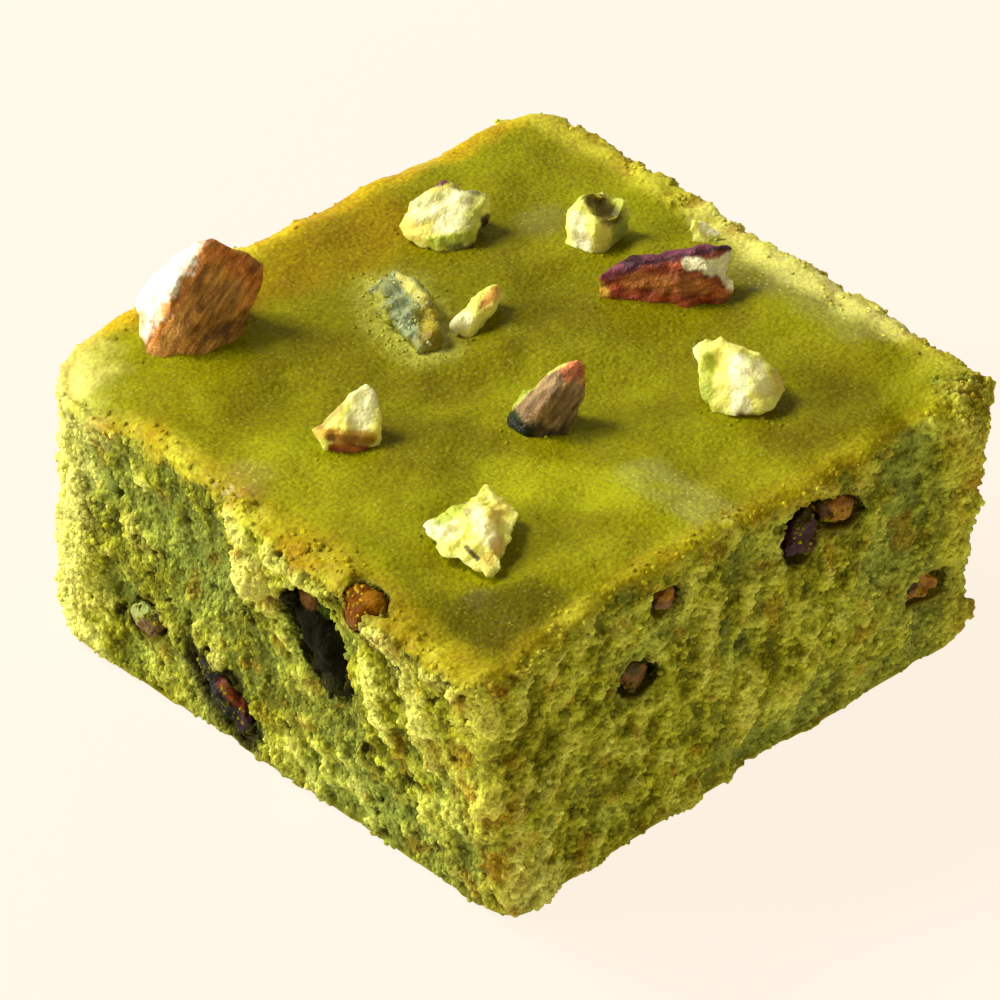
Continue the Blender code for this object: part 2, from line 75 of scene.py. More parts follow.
def linear(red, green, blue):
    """The light values of a colour given as a screen shows it."""
    shares = [value / 255 for value in (red, green, blue)]
    return [share / 12.92 if share < 0.04 else ((share + 0.055) / 1.055) ** 2.4 for share in shares]


PALETTE = {
    "top olive": linear(138, 135, 5),
    "deep olive": linear(118, 110, 2),
    "shaded olive": linear(90, 82, 1),
    "golden olive": linear(142, 118, 2),
    "bright olive": linear(160, 158, 14),
    "rim yellow": linear(206, 198, 58),
    "backlit rim gold": linear(206, 174, 26),
    "rim olive": linear(172, 154, 20),
    "lit crumb": linear(238, 234, 122),
    "shade and grey bit green": linear(150, 164, 70),
    "toasted": linear(158, 108, 8),
    "pit": linear(72, 60, 6),
    "fleck": linear(206, 214, 204),
    "sage": linear(186, 196, 150),
    "crack shade": linear(116, 114, 16),
    "crumb green": linear(178, 178, 36),
    "pale crumb": linear(226, 226, 104),
    "cream": linear(255, 248, 196),
    "kernel white": linear(255, 252, 230),
    "kernel yellow": linear(255, 246, 122),
    "kernel green": linear(178, 190, 52),
    "leaf green": linear(96, 122, 40),
    "dark green": linear(42, 52, 10),
    "grey green": linear(146, 152, 84),
    "blue green": linear(150, 166, 126),
    "gold": linear(222, 178, 64),
    "orange": linear(206, 120, 44),
    "salmon": linear(214, 120, 76),
    "amber": linear(112, 60, 1),
    "red brown": linear(150, 70, 36),
    "fibrous brown": linear(194, 136, 64),
    "brown": linear(118, 80, 34),
    "dark brown": linear(66, 40, 16),
    "purple": linear(116, 56, 76),
    "dark purple": linear(62, 28, 38),
    "grey purple": linear(158, 128, 84),
    "black green": linear(20, 19, 5),
}
print("block size in mm:", round(WIDTH / MM, 1), round(DEPTH / MM, 1), round(HEIGHT / MM, 1))

# %% [markdown]
# ## Small helpers
# Most of Blender's operators act on whatever is selected, so one helper selects a single piece before each
# of them. Another applies a piece's modifiers in order, so that the finished mesh is what remains. A solid
# of the part is never changed: a piece starts from a copy of its mesh, and the loose triangles of the copy
# are merged first.

# %% Small helpers
def take(piece):
    """Makes this piece the only one that is selected, and the active one."""
    bpy.ops.object.select_all(action="DESELECT")
    piece.select_set(True)
    bpy.context.view_layer.objects.active = piece


def settle(piece):
    """Applies all the modifiers of a piece, first to last."""
    take(piece)
    for modifier in list(piece.modifiers):
        bpy.ops.object.modifier_apply(modifier=modifier.name)


def copy_of_solid(node, name):
    """A new piece with a solid's shape, its triangles joined up."""
    piece = bpy.data.objects.new(name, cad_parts[node].data.copy())
    bpy.context.scene.collection.objects.link(piece)
    take(piece)
    bpy.ops.object.mode_set(mode="EDIT")
    bpy.ops.mesh.select_all(action="SELECT")
    bpy.ops.mesh.remove_doubles(threshold=0.001 * MM)
    bpy.ops.object.mode_set(mode="OBJECT")
    piece.data.materials.clear()
    return piece


def coordinates(piece, what="co"):
    """The places of a piece's points, or with what="normal" the directions that they face."""
    values = numpy.empty(len(piece.data.vertices) * 3, dtype=numpy.float32)
    piece.data.vertices.foreach_get(what, values)
    return values.reshape(-1, 3).astype(float)


def set_places(piece, places):
    """Puts the points of a piece at these places, but never below the table."""
    places[:, 2] = numpy.maximum(places[:, 2], 0.0)
    piece.data.vertices.foreach_set("co", places.astype(numpy.float32).ravel())
    piece.data.update()


def store(piece, name, values):
    """Keeps one value for each point, for the materials to read."""
    stored = piece.data.attributes.new(name, "FLOAT", "POINT")
    stored.data.foreach_set("value", values.astype(numpy.float32))


def step(low, high, values):
    """0 at low, 1 at high and smooth between them; low may be the larger one."""
    share = numpy.clip((values - low) / (high - low), 0.0, 1.0)
    return share * share * (3.0 - 2.0 * share)


def cloud(places, size, offset=0.0):
    """Smooth random values between -1 and 1, with lumps of about this size."""
    return numpy.array([noise.noise(place) for place in (places / size + offset).tolist()])


def triangles(piece):
    return sum(len(face.vertices) - 2 for face in piece.data.polygons)


# %% [markdown]
# ## The fudge: close the pockets and make an even skin
# In the solids every nut sits in a pocket that is a little too big for it. Real fudge clings to the nuts on
# top, so the walls of their pockets are deleted and the holes are filled: the surface then runs straight up
# to each nut. The knife left the nuts in the sides loose in their holes, so those pockets stay. A voxel
# remesh lays an even net of small squares over the whole block, fine enough for crumbs less than a
# millimetre wide, and a little smoothing takes out the flat facets of the solid.

# %% The fudge: close the pockets and make an even skin
POCKET_REACH = 0.75 * MM
POCKET_ROUNDS = 6
FUDGE_NET = 0.19 * MM
FUDGE_TRIANGLES = 196000


def lay_even_net(piece, size, smoothing_steps):
    """Adds modifiers that lay an even net over a piece and soften its facets."""
    net = piece.modifiers.new("even net", "REMESH")
    net.mode = "VOXEL"
    net.voxel_size = size
    soften = piece.modifiers.new("soften", "SMOOTH")
    soften.factor = 0.5
    soften.iterations = smoothing_steps


def nuts_tree(prefixes):
    """A search tree over the surfaces of the nuts whose names start like this."""
    together = bmesh.new()
    for name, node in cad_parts.items():
        if name.startswith(prefixes):
            together.from_mesh(node.data)
    tree = BVHTree.FromBMesh(together)
    together.free()
    return tree


def close_pockets(block, nuts):
    """Deletes the walls near the nuts and fills the holes that this leaves."""
    take(block)
    bpy.ops.object.mode_set(mode="EDIT")
    bpy.ops.mesh.select_mode(type="FACE")
    bpy.ops.mesh.select_all(action="DESELECT")
    bpy.ops.object.mode_set(mode="OBJECT")
    for face in block.data.polygons:
        face.select = nuts.find_nearest(face.center, POCKET_REACH)[0] is not None
    bpy.ops.object.mode_set(mode="EDIT")
    bpy.ops.mesh.delete(type="FACE")
    bpy.ops.mesh.select_mode(type="VERT")
    for attempt in range(POCKET_ROUNDS):
        bpy.ops.mesh.select_all(action="SELECT")
        bpy.ops.mesh.fill_holes(sides=0)
        bpy.ops.mesh.select_all(action="DESELECT")
        bpy.ops.mesh.select_non_manifold()
        if block.data.total_vert_sel == 0:
            break
        bpy.ops.mesh.delete(type="VERT")
    bpy.ops.mesh.select_all(action="SELECT")
    bpy.ops.mesh.normals_make_consistent(inside=False)
    bpy.ops.object.mode_set(mode="OBJECT")
    print("rounds to close the pockets:", attempt + 1)


nut_tree = nuts_tree(("nut_",))
fudge = copy_of_solid("barfi_block", "fudge")
close_pockets(fudge, nut_tree)
lay_even_net(fudge, FUDGE_NET, 6)
settle(fudge)
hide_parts("barfi_block")
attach(fudge, "root")
print("points in the fudge:", len(fudge.data.vertices))

# %% [markdown]
# ## Where the skin ends and the cut begins
# The knife leaves two kinds of surface, and every later step has to know which is which. The smooth skin of
# the top bends over the rim for a millimetre or two, and further at the left corner, and crumbles away
# there without a clear line. Below it is the torn cut. This is stored as a vertex group named cut, 0 on the
# skin and 1 on the torn sides. The corner at +X -Y has broken off, skin and all. A group named torn says
# how hard the knife pulled: the side at -Y came off cleaner than the others. Smaller groups mark the rim,
# which is whole along +Y and broken elsewhere, the places near a nut, the hollow round the dark nut, and
# where grains may lie.

# %% Where the skin ends and the cut begins
TOP_HEIGHT = 19.5
SKIN_DROP = 0.9
LEFT_SKIN_DROP = 2.6


def add_group(piece, name, weights):
    """Stores weights from 0 to 1 as a vertex group, in steps of a twentieth."""
    group = piece.vertex_groups.new(name=name)
    steps = numpy.round(weights * 20).astype(int)
    for level in range(1, 21):
        group.add(numpy.flatnonzero(steps == level).tolist(), level / 20, "REPLACE")


def cut_weights(places, facing):
    """1 where the knife tore the fudge, 0 on the smooth skin."""
    x, y, z = (places / MM).T
    near_left_corner = numpy.exp(-((x + WIDTH / MM / 2) ** 2 + (y - DEPTH / MM / 2) ** 2) / 9.0 ** 2)
    from_right_corner = numpy.hypot(x - WIDTH / MM / 2, (y + DEPTH / MM / 2) * 1.3)
    ragged = cloud(places, 2.4 * MM) * 1.3 + cloud(places, 0.8 * MM) * 0.8
    skin_line = TOP_HEIGHT - SKIN_DROP - LEFT_SKIN_DROP * near_left_corner + ragged
    sideways = step(0.93, 0.5, facing[:, 2]) * step(-0.75, -0.45, facing[:, 2])
    broken_corner = step(6.5, 4.0, from_right_corner + ragged * 1.6) * step(-0.75, -0.45, facing[:, 2])
    return numpy.maximum(step(skin_line + 1.0, skin_line - 0.6, z) * sideways, broken_corner)


def nearness(places, tree, reach):
    """1 on the nuts, falling to 0 at this distance from them."""
    found = [tree.find_nearest(place, reach)[3] for place in places.tolist()]
    distances = numpy.array([reach if distance is None else distance for distance in found])
    return 1.0 - distances / reach


places = coordinates(fudge)
facing = coordinates(fudge, "normal")
cut = cut_weights(places, facing)
top = step(0.3, 0.8, facing[:, 2]) * step(12.0, 14.0, places[:, 2] / MM)
from_rim = numpy.minimum(WIDTH / 2 - abs(places[:, 0]), DEPTH / 2 - abs(places[:, 1])) / MM
rim = step(3.6, 0.6, from_rim + cloud(places, 3 * MM) * 1.4) * step(15.5, 18.0, places[:, 2] / MM)
by_nut = nearness(places, nut_tree, 1.8 * MM) * top
calm = step(-0.3, -0.7, facing[:, 1])
add_group(fudge, "cut", cut)
add_group(fudge, "torn", cut * (1.0 - 0.35 * calm))
add_group(fudge, "skin", top * (1.0 - cut))
add_group(fudge, "rim", rim)
add_group(fudge, "by_nut", by_nut)
hollow = numpy.clip(nearness(places, nuts_tree(("cut_nut_dark",)), 1.6 * MM) * 1.6, 0.0, 1.0)
add_group(fudge, "hollow", hollow)
whole_rim = step(17.5, 20.5, places[:, 1] / MM)
crumbly_rim = rim * step(-0.35, 0.35, cloud(places, 1.8 * MM, 3.0)) * (1.0 - 0.9 * whole_rim)
add_group(fudge, "broken_rim", rim * (1.0 - 0.9 * whole_rim))
by_dark_nut = step(0.1, 0.6, nearness(places, nuts_tree(("cut_nut_dark", "cut_nut_amber")), 0.6 * MM))
grainy = numpy.clip(cut + crumbly_rim * 0.8, 0.0, 1.0) * (1.0 - by_dark_nut)
add_group(fudge, "open_side", grainy * (1.0 - hollow))
add_group(fudge, "grainy", grainy)
on_x_sides = abs(places[:, 0]) > abs(places[:, 1])
add_group(fudge, "grainy_x", grainy * on_x_sides)
add_group(fudge, "grainy_y", grainy * ~on_x_sides)
print("share of the surface that is cut:", round(float(cut.mean()), 2))

# %% [markdown]
# ## The torn sides
# A torn side of barfi is a heap of lumps in lumps: clods of two or three millimetres, made of grains under
# a millimetre, with dark cracks between them. The knife also drags furrows along its way and leaves a few
# ridges and holes. The furrows are a cloud pattern drawn out along that way, and the ridges are lines laid
# down one by one after the photograph; both move the points directly. Displace modifiers then give the
# lumps, with a cell pattern (Voronoi) whose cells stand out as domes, once coarse and once fine. They act
# only where a group says so. The skin gets a faint unevenness instead, which is what makes its sheen
# wander. How far each point moved is kept as an attribute named relief, so that the colours can paint
# shade into the cracks and light onto the crests.

# %% The torn sides
def pattern(name, kind, size, **settings):
    """A texture for a Displace modifier."""
    texture = bpy.data.textures.new(name, kind)
    texture.noise_scale = size
    for setting, value in settings.items():
        setattr(texture, setting, value)
    return texture


def push(piece, texture, strength, level=0.5, group=""):
    """Moves the points of a piece along their normals, by a texture or, without one, evenly."""
    modifier = piece.modifiers.new("push", "DISPLACE")
    modifier.texture = texture
    modifier.texture_coords = "LOCAL"
    modifier.strength = strength
    modifier.mid_level = level
    modifier.vertex_group = group


def streaks(places, size):
    """Clouds drawn out along the way the knife went: down, and forward on the sides at -X and +X."""
    drawn_out = []
    for way in ((0.0, -0.53, -0.85), (-0.3, 0.0, -0.95)):
        way = numpy.array(way)
        drawn_out.append(cloud(places - numpy.outer(places @ way, way) * 0.75, size))
    x, y, z = abs(places / MM).T
    on_x_sides = step(-2.0, 2.0, x - y)
    return drawn_out[0] * on_x_sides + drawn_out[1] * (1.0 - on_x_sides)


def shift(piece, directions, distances):
    """Moves each point of a piece by its own distance."""
    set_places(piece, coordinates(piece) + directions * distances[:, None])


class Ridge(NamedTuple):
    """A raised line on a side, or with a negative height a sunken one, in millimetres."""
    start: tuple
    end: tuple
    reach: float
    height: float


RIDGES = (
    Ridge((-22.0, 1.6, 19.0), (-22.0, -5.4, 8.4), 1.0, 0.55),
    Ridge((-22.0, 5.2, 17.0), (-22.0, -0.4, 7.0), 2.4, -0.35),
    Ridge((-22.0, -8.0, 9.0), (-22.0, -10.2, 4.6), 0.8, 0.35),
    Ridge((-22.0, -14.0, 16.5), (-22.0, -17.5, 8.0), 0.9, 0.25),
    Ridge((-21.8, -21.8, 18.0), (-21.4, -21.4, 0.5), 1.2, 0.3),
    Ridge((12.0, -22.0, 18.0), (15.0, -22.0, 9.0), 1.6, -0.3),
)


def ridge_share(ridge, places):
    """1 on the line of a ridge, falling smoothly to 0 beside it."""
    start = numpy.array(ridge.start) * MM
    line = numpy.array(ridge.end) * MM - start
    along = numpy.clip((places - start) @ line / (line @ line), 0.0, 1.0)
    distance = numpy.linalg.norm(places - start - along[:, None] * line, axis=1)
    return step(1.8, 0.2, distance / (ridge.reach * MM) + cloud(places, 1.2 * MM) * 0.3)


for ridge in RIDGES:
    shift(fudge, facing, ridge_share(ridge, places) * ridge.height * MM * cut)
crest = numpy.max([ridge_share(ridge, places) for ridge in RIDGES if ridge.height > 0], axis=0)
drag = streaks(places, 1.5 * MM)
pits = step(0.4, 0.62, cloud(places, 0.9 * MM, 31.0)) * cut * (1.0 - 0.6 * calm)
shift(fudge, facing, drag * cut * 0.3 * MM - pits * 0.4 * MM)
push(fudge, pattern("cracks", "CLOUDS", 3.0 * MM, noise_depth=1), 0.7 * MM, 0.5, "torn")
push(fudge, pattern("clods", "VORONOI", 1.3 * MM), -0.36 * MM, 0.42, "torn")
push(fudge, pattern("lumps", "CLOUDS", 0.7 * MM, noise_depth=2), 0.6 * MM, 0.5, "grainy")
push(fudge, pattern("grains", "VORONOI", 0.45 * MM), -0.32 * MM, 0.42, "grainy")
push(fudge, None, -0.9 * MM, 0.0, "hollow")
push(fudge, pattern("rolling top", "CLOUDS", 5.0 * MM, noise_depth=1), 0.8 * MM, 0.5, "skin")
push(fudge, pattern("dimples", "CLOUDS", 1.6 * MM, noise_depth=2), 0.22 * MM, 0.5, "skin")
push(fudge, pattern("broken rim", "CLOUDS", 1.6 * MM, noise_depth=2), 0.8 * MM, 0.5, "broken_rim")
settle(fudge)
set_places(fudge, coordinates(fudge))
moved = ((coordinates(fudge) - places) * facing).sum(axis=1)
relief = step(-0.55 * MM, 0.45 * MM, moved)
store(fudge, "relief", relief)
print("crests and cracks in mm:", round(moved.max() / MM, 2), round(moved.min() / MM, 2))

# %% [markdown]
# ## Colour painted on the surface
# The fudge isn't one green. The middle of the top is a deep, oily olive, with painted shadows beside some
# nuts, the front is lighter, and the rims are yellow. The gold along the back rim is partly a painted glow
# of the light from behind, and the pale yellow of the left corner is painted light. Such a change has a
# place on the object, so it is painted: soft dabs of colour go over a base colour and are stored in a
# colour attribute named dye. The same brush colours the nuts later. A bit of noise frays the edge of each
# dab. The cut gets its colour from its own relief, as painted shade and light: green in the recesses, dark
# in the cracks, brown in the holes and beside the nuts, yellow and pale on the crests and corners. A few
# dabs more, in an attribute named sheen, say where the fat of the milk shines on the skin; the painted
# glints are strongest there.

# %% Colour painted on the surface
class Dab(NamedTuple):
    """A stroke of the brush from one place to another, or a single touch."""
    colour: str
    at: tuple
    reach: float
    to: tuple = None
    cover: float = 1.0


def covered(dab, brush_places, fray):
    """How much a stroke covers each place; places and reach are in millimetres."""
    start = numpy.array(dab.at)
    stroke = numpy.array(dab.to or dab.at) - start
    along = (brush_places - start) @ stroke / max(stroke @ stroke, 1e-9)
    nearest = start + numpy.clip(along, 0.0, 1.0)[:, None] * stroke
    distance = numpy.linalg.norm(brush_places - nearest, axis=1) / dab.reach
    return step(1.35, 0.65, distance + fray) * dab.cover


def dabbed(colours, dabs, brush_places, fray):
    """Goes over colours with soft strokes."""
    for dab in dabs:
        share = covered(dab, brush_places, fray)[:, None]
        colours = colours + (numpy.array(PALETTE[dab.colour]) - colours) * share
    return colours


def store_dye(piece, colours):
    dye = piece.data.color_attributes.new("dye", "FLOAT_COLOR", "POINT")
    rgba = numpy.column_stack((colours, numpy.ones(len(colours))))
    dye.data.foreach_set("color", rgba.astype(numpy.float32).ravel())


def blended(first, second, share):
    """One palette colour going over into another."""
    share = share[:, None]
    return numpy.array(PALETTE[first]) * (1.0 - share) + numpy.array(PALETTE[second]) * share


TOP_DABS = (
    Dab("golden olive", (-9.0, 19.0, 19.5), 4.5, (3.0, 18.5, 19.5), 0.9),
    Dab("deep olive", (-11.0, 8.0, 19.5), 4.5, (-1.2, 4.0, 19.5), 0.8),
    # painted shadow beside the purple-backed nut
    Dab("deep olive", (7.0, 3.5, 19.5), 4.0, (14.0, -2.5, 19.5), 0.8),
    Dab("deep olive", (9.5, 13.0, 19.5), 3.5, (3.0, 10.0, 19.5), 0.7),
    # painted shadow of the pale flake, on its right
    Dab("deep olive", (9.0, -16.0, 19.5), 2.6, (13.0, -16.0, 19.5), 0.9),
    Dab("shaded olive", (-17.6, -16.5, 19.5), 3.0, (-15.0, -18.5, 19.5), 0.9),
    Dab("deep olive", (-9.5, -1.5, 19.5), 3.2, (-7.5, -4.0, 19.5), 0.9),
    Dab("bright olive", (-17.0, -3.5, 19.5), 2.6, (-17.5, 3.0, 19.5), 0.8),
    Dab("bright olive", (-7.0, -8.5, 19.5), 2.4, (-3.0, -14.5, 19.5), 0.9),
    Dab("bright olive", (-8.5, -18.5, 19.5), 2.6, (3.0, -18.5, 19.5), 0.6),
    Dab("fleck", (-16.3, -14.9, 19.3), 0.45, (-15.9, -15.6, 19.3), 0.7),
)
RIM_DABS = (
    # partly the rim's own gold and partly a painted glow of the light from behind
    Dab("backlit rim gold", (-22.0, 21.8, 19.5), 1.8, (22.0, 21.8, 19.5), 0.9),
    Dab("rim yellow", (21.8, 20.0, 19.5), 2.2, (21.8, -22.0, 19.5), 0.8),
    # partly pale crumbs and partly a painted highlight, where the right rim shines
    Dab("lit crumb", (21.4, 4.0, 19.5), 2.2, (21.4, -12.0, 19.5), 0.7),
    Dab("rim olive", (-21.6, 13.0, 19.3), 2.3, (-21.2, -20.0, 19.3), 0.9),
    Dab("rim olive", (-20.0, -21.3, 19.3), 2.0, (22.0, -21.3, 19.3), 0.7),
)
SHEEN_DABS = (
    Dab("fleck", (-1.3, -13.5, 19.5), 1.8, (-1.2, -19.5, 19.5), 1.0),
    Dab("fleck", (-19.3, 2.0, 19.5), 1.8, None, 0.7),
    Dab("fleck", (19.5, -2.0, 19.5), 2.2, (19.5, -11.0, 19.5), 0.8),
    Dab("fleck", (12.5, 11.0, 19.5), 1.6, None, 0.6),
    Dab("fleck", (-16.1, -15.2, 19.5), 1.2, None, 0.9),
)


def tinted(colours, *tints):
    """Colours carried towards palette colours one after another, each by its own share."""
    for name, share in tints:
        colours = colours + (numpy.array(PALETTE[name]) - colours) * numpy.clip(share, 0.0, 1.0)[:, None]
    return colours


def cut_colours(places, relief, calm):
    """Painted shade, dark and green, in cracks and recesses; painted light, yellow and pale, on crests and
    edges.
    """
    x, y, z = (places / MM).T
    stands_out = numpy.maximum(abs(x) - 21.6, abs(y) - 21.3)
    fine = relief + 0.35 * cloud(places, 0.45 * MM) + 0.2 * cloud(places, 1.2 * MM)
    recess = step(-0.2, -1.6, stands_out + 0.5 * cloud(places, 2.5 * MM))
    corner = step(0.0, 0.9, stands_out + 0.4 * cloud(places, 1.5 * MM))
    return tinted(
        # painted shade where the relief is low, painted light where it is high
        blended("crack shade", "crumb green", step(0.1, 0.6, fine)),
        ("pale crumb", step(0.45, 1.0, fine) * (0.8 - 0.35 * calm)),
        # painted shade in the dragged furrows, painted light on the streaks between them
        ("crack shade", step(0.1, -0.5, drag) * 0.45),
        ("lit crumb", step(0.25, 0.6, drag) * 0.3 * (1.0 - 0.8 * calm)),
        # painted highlight along the crests of the ridges
        ("lit crumb", crest * 0.35),
        # painted shade where the side lies back from its face, painted light where it stands out
        ("shade and grey bit green", recess * 0.7),
        ("lit crumb", corner * 0.5),
        ("toasted", step(0.3, 0.55, cloud(places, 1.6 * MM, 21.0)) * 0.45),
        # painted shade in the pits and along the foot
        ("pit", pits * 0.8),
        ("crack shade", step(1.6, 0.0, z) * 0.5),
    )


places = coordinates(fudge)
x, y, z = (places / MM).T
patches = cloud(places, 2.2 * MM, 5.0) + 0.5 * cloud(places, 0.8 * MM, 9.0)
ragged_edge = cloud(places, 2.5 * MM) * 0.35
from_left_corner = numpy.hypot(x + 22.0, y - 21.5)
from_front_corner = numpy.hypot(x + 21.5, y + 21.5)
from_right_corner = numpy.hypot(x - 21.5, y + 21.5)
edge_stain = step(5.0, 1.0, numpy.minimum(from_front_corner, from_right_corner)) * step(0.05, 0.5, patches)
rim_stain = rim * step(0.1, 0.5, -patches)
by_sunken_nut = nearness(places, nuts_tree(("nut_sunken",)), 2.2 * MM)
by_sunken_nut *= step(-0.3, 0.3, cloud(places, 0.6 * MM, 13.0) + by_sunken_nut * 0.6)
add_group(fudge, "by_sunken_nut", by_sunken_nut)
cut_nut_shade = nearness(places, nuts_tree(("cut_",)), 1.0 * MM)
by_dark_nut = nearness(places, nuts_tree(("cut_nut_dark", "cut_nut_low")), 2.4 * MM)
plain_top = numpy.tile(PALETTE["top olive"], (len(places), 1))
top_colours = tinted(
    dabbed(plain_top, TOP_DABS + RIM_DABS, places / MM, ragged_edge),
    ("rim yellow", rim * step(0.0, 0.6, patches) * 0.8),
)
fudge_colours = tinted(
    top_colours + (cut_colours(places, relief, calm) - top_colours) * cut[:, None],
    # painted light at the left corner, lit from behind, and at the broken right corner; the front corner is
    # lighter yellow
    ("lit crumb", step(7.5, 3.0, from_left_corner + patches * 2.0) * 0.95),
    ("rim yellow", step(2.6, 0.8, from_front_corner + patches) * 0.5),
    ("rim yellow", step(6.0, 3.0, from_right_corner + patches * 2.0) * 0.4),
    ("toasted", (edge_stain + rim_stain * 0.8) * 0.7),
    ("pale crumb", by_sunken_nut * 0.55),
    # painted shade in the pockets of the cut nuts, round the dark and low nuts, and in the hollow
    ("dark brown", cut_nut_shade * 0.8),
    ("black green", step(0.2, 0.75, by_dark_nut + patches * 0.15) * 0.9),
    ("black green", step(0.35, 0.95, hollow + patches * 0.1) * 0.9),
)
store_dye(fudge, fudge_colours)
sheen = numpy.zeros(len(places))
for dab in SHEEN_DABS:
    sheen = numpy.maximum(sheen, covered(dab, places / MM, ragged_edge))
sheen *= 1.0 - cut
store(fudge, "sheen", sheen)
print("share of the top that shines:", round(float(sheen[cut < 0.5].mean()), 3))

# %% [markdown]
# ## Thin the block where it is flat
# The even net has far more points than the top and the underside need. A Decimate modifier gives them up
# where the surface is flat and keeps them where the crumbs are, until the piece is under its limit of
# triangles.

# %% Thin the block where it is flat
thin = fudge.modifiers.new("thin", "DECIMATE")
thin.ratio = min(1.0, FUDGE_TRIANGLES / triangles(fudge))
settle(fudge)
bpy.ops.object.shade_smooth()
print("triangles in the fudge:", triangles(fudge))

# %% [markdown]
# ## Loose grains and crumbs
# The relief alone looks like one skin over the lumps. Real fudge shows separate grains, so thousands of
# them are scattered over the cut: one small lump is modelled, and a Geometry Nodes group sets copies of it
# on the surface with a random size and turn. Realize Instances turns the copies into one plain mesh, and a
# noise then dents each grain differently. The dye of the fudge travels along with every grain, and a random
# value named tint lets the material make some lighter and some darker. There are three sizes of grain on
# the cut, a sprinkle of broken skin along the rim, and dust round the nuts.

# %% Loose grains and crumbs
def make_speck():
    """The smallest grain, 1 mm across before it is scaled, with 20 faces."""
    bpy.ops.object.select_all(action="DESELECT")
    bpy.ops.mesh.primitive_ico_sphere_add(subdivisions=1, radius=0.5 * MM)
    bpy.context.object.name = "speck_model"
    return bpy.context.object


def make_crumb():
    """A rounded lump 1 mm across with 48 faces, the start of every larger crumb."""
    bpy.ops.object.select_all(action="DESELECT")
    bpy.ops.mesh.primitive_cube_add(size=0.8 * MM)
    lump = bpy.context.object
    lump.name = "crumb_model"
    bpy.ops.object.mode_set(mode="EDIT")
    bpy.ops.mesh.select_all(action="SELECT")
    bpy.ops.mesh.subdivide(number_cuts=1)
    bpy.ops.transform.tosphere(value=1.0)
    bpy.ops.object.mode_set(mode="OBJECT")
    width = max(lump.dimensions)
    for vertex in lump.data.vertices:
        vertex.co *= MM / width
    return lump


def add_node(tree, kind, x, y, values=(), **settings):
    """A node at a place of the node editor, with its settings and the values of its sockets."""
    node = tree.nodes.new(kind)
    node.location = (x, y)
    for name, value in settings.items():
        setattr(node, name, value)
    for socket, value in dict(values).items():
        node.inputs[socket].default_value = value
    return node


FULL_TURN = (math.tau, math.tau, math.tau)


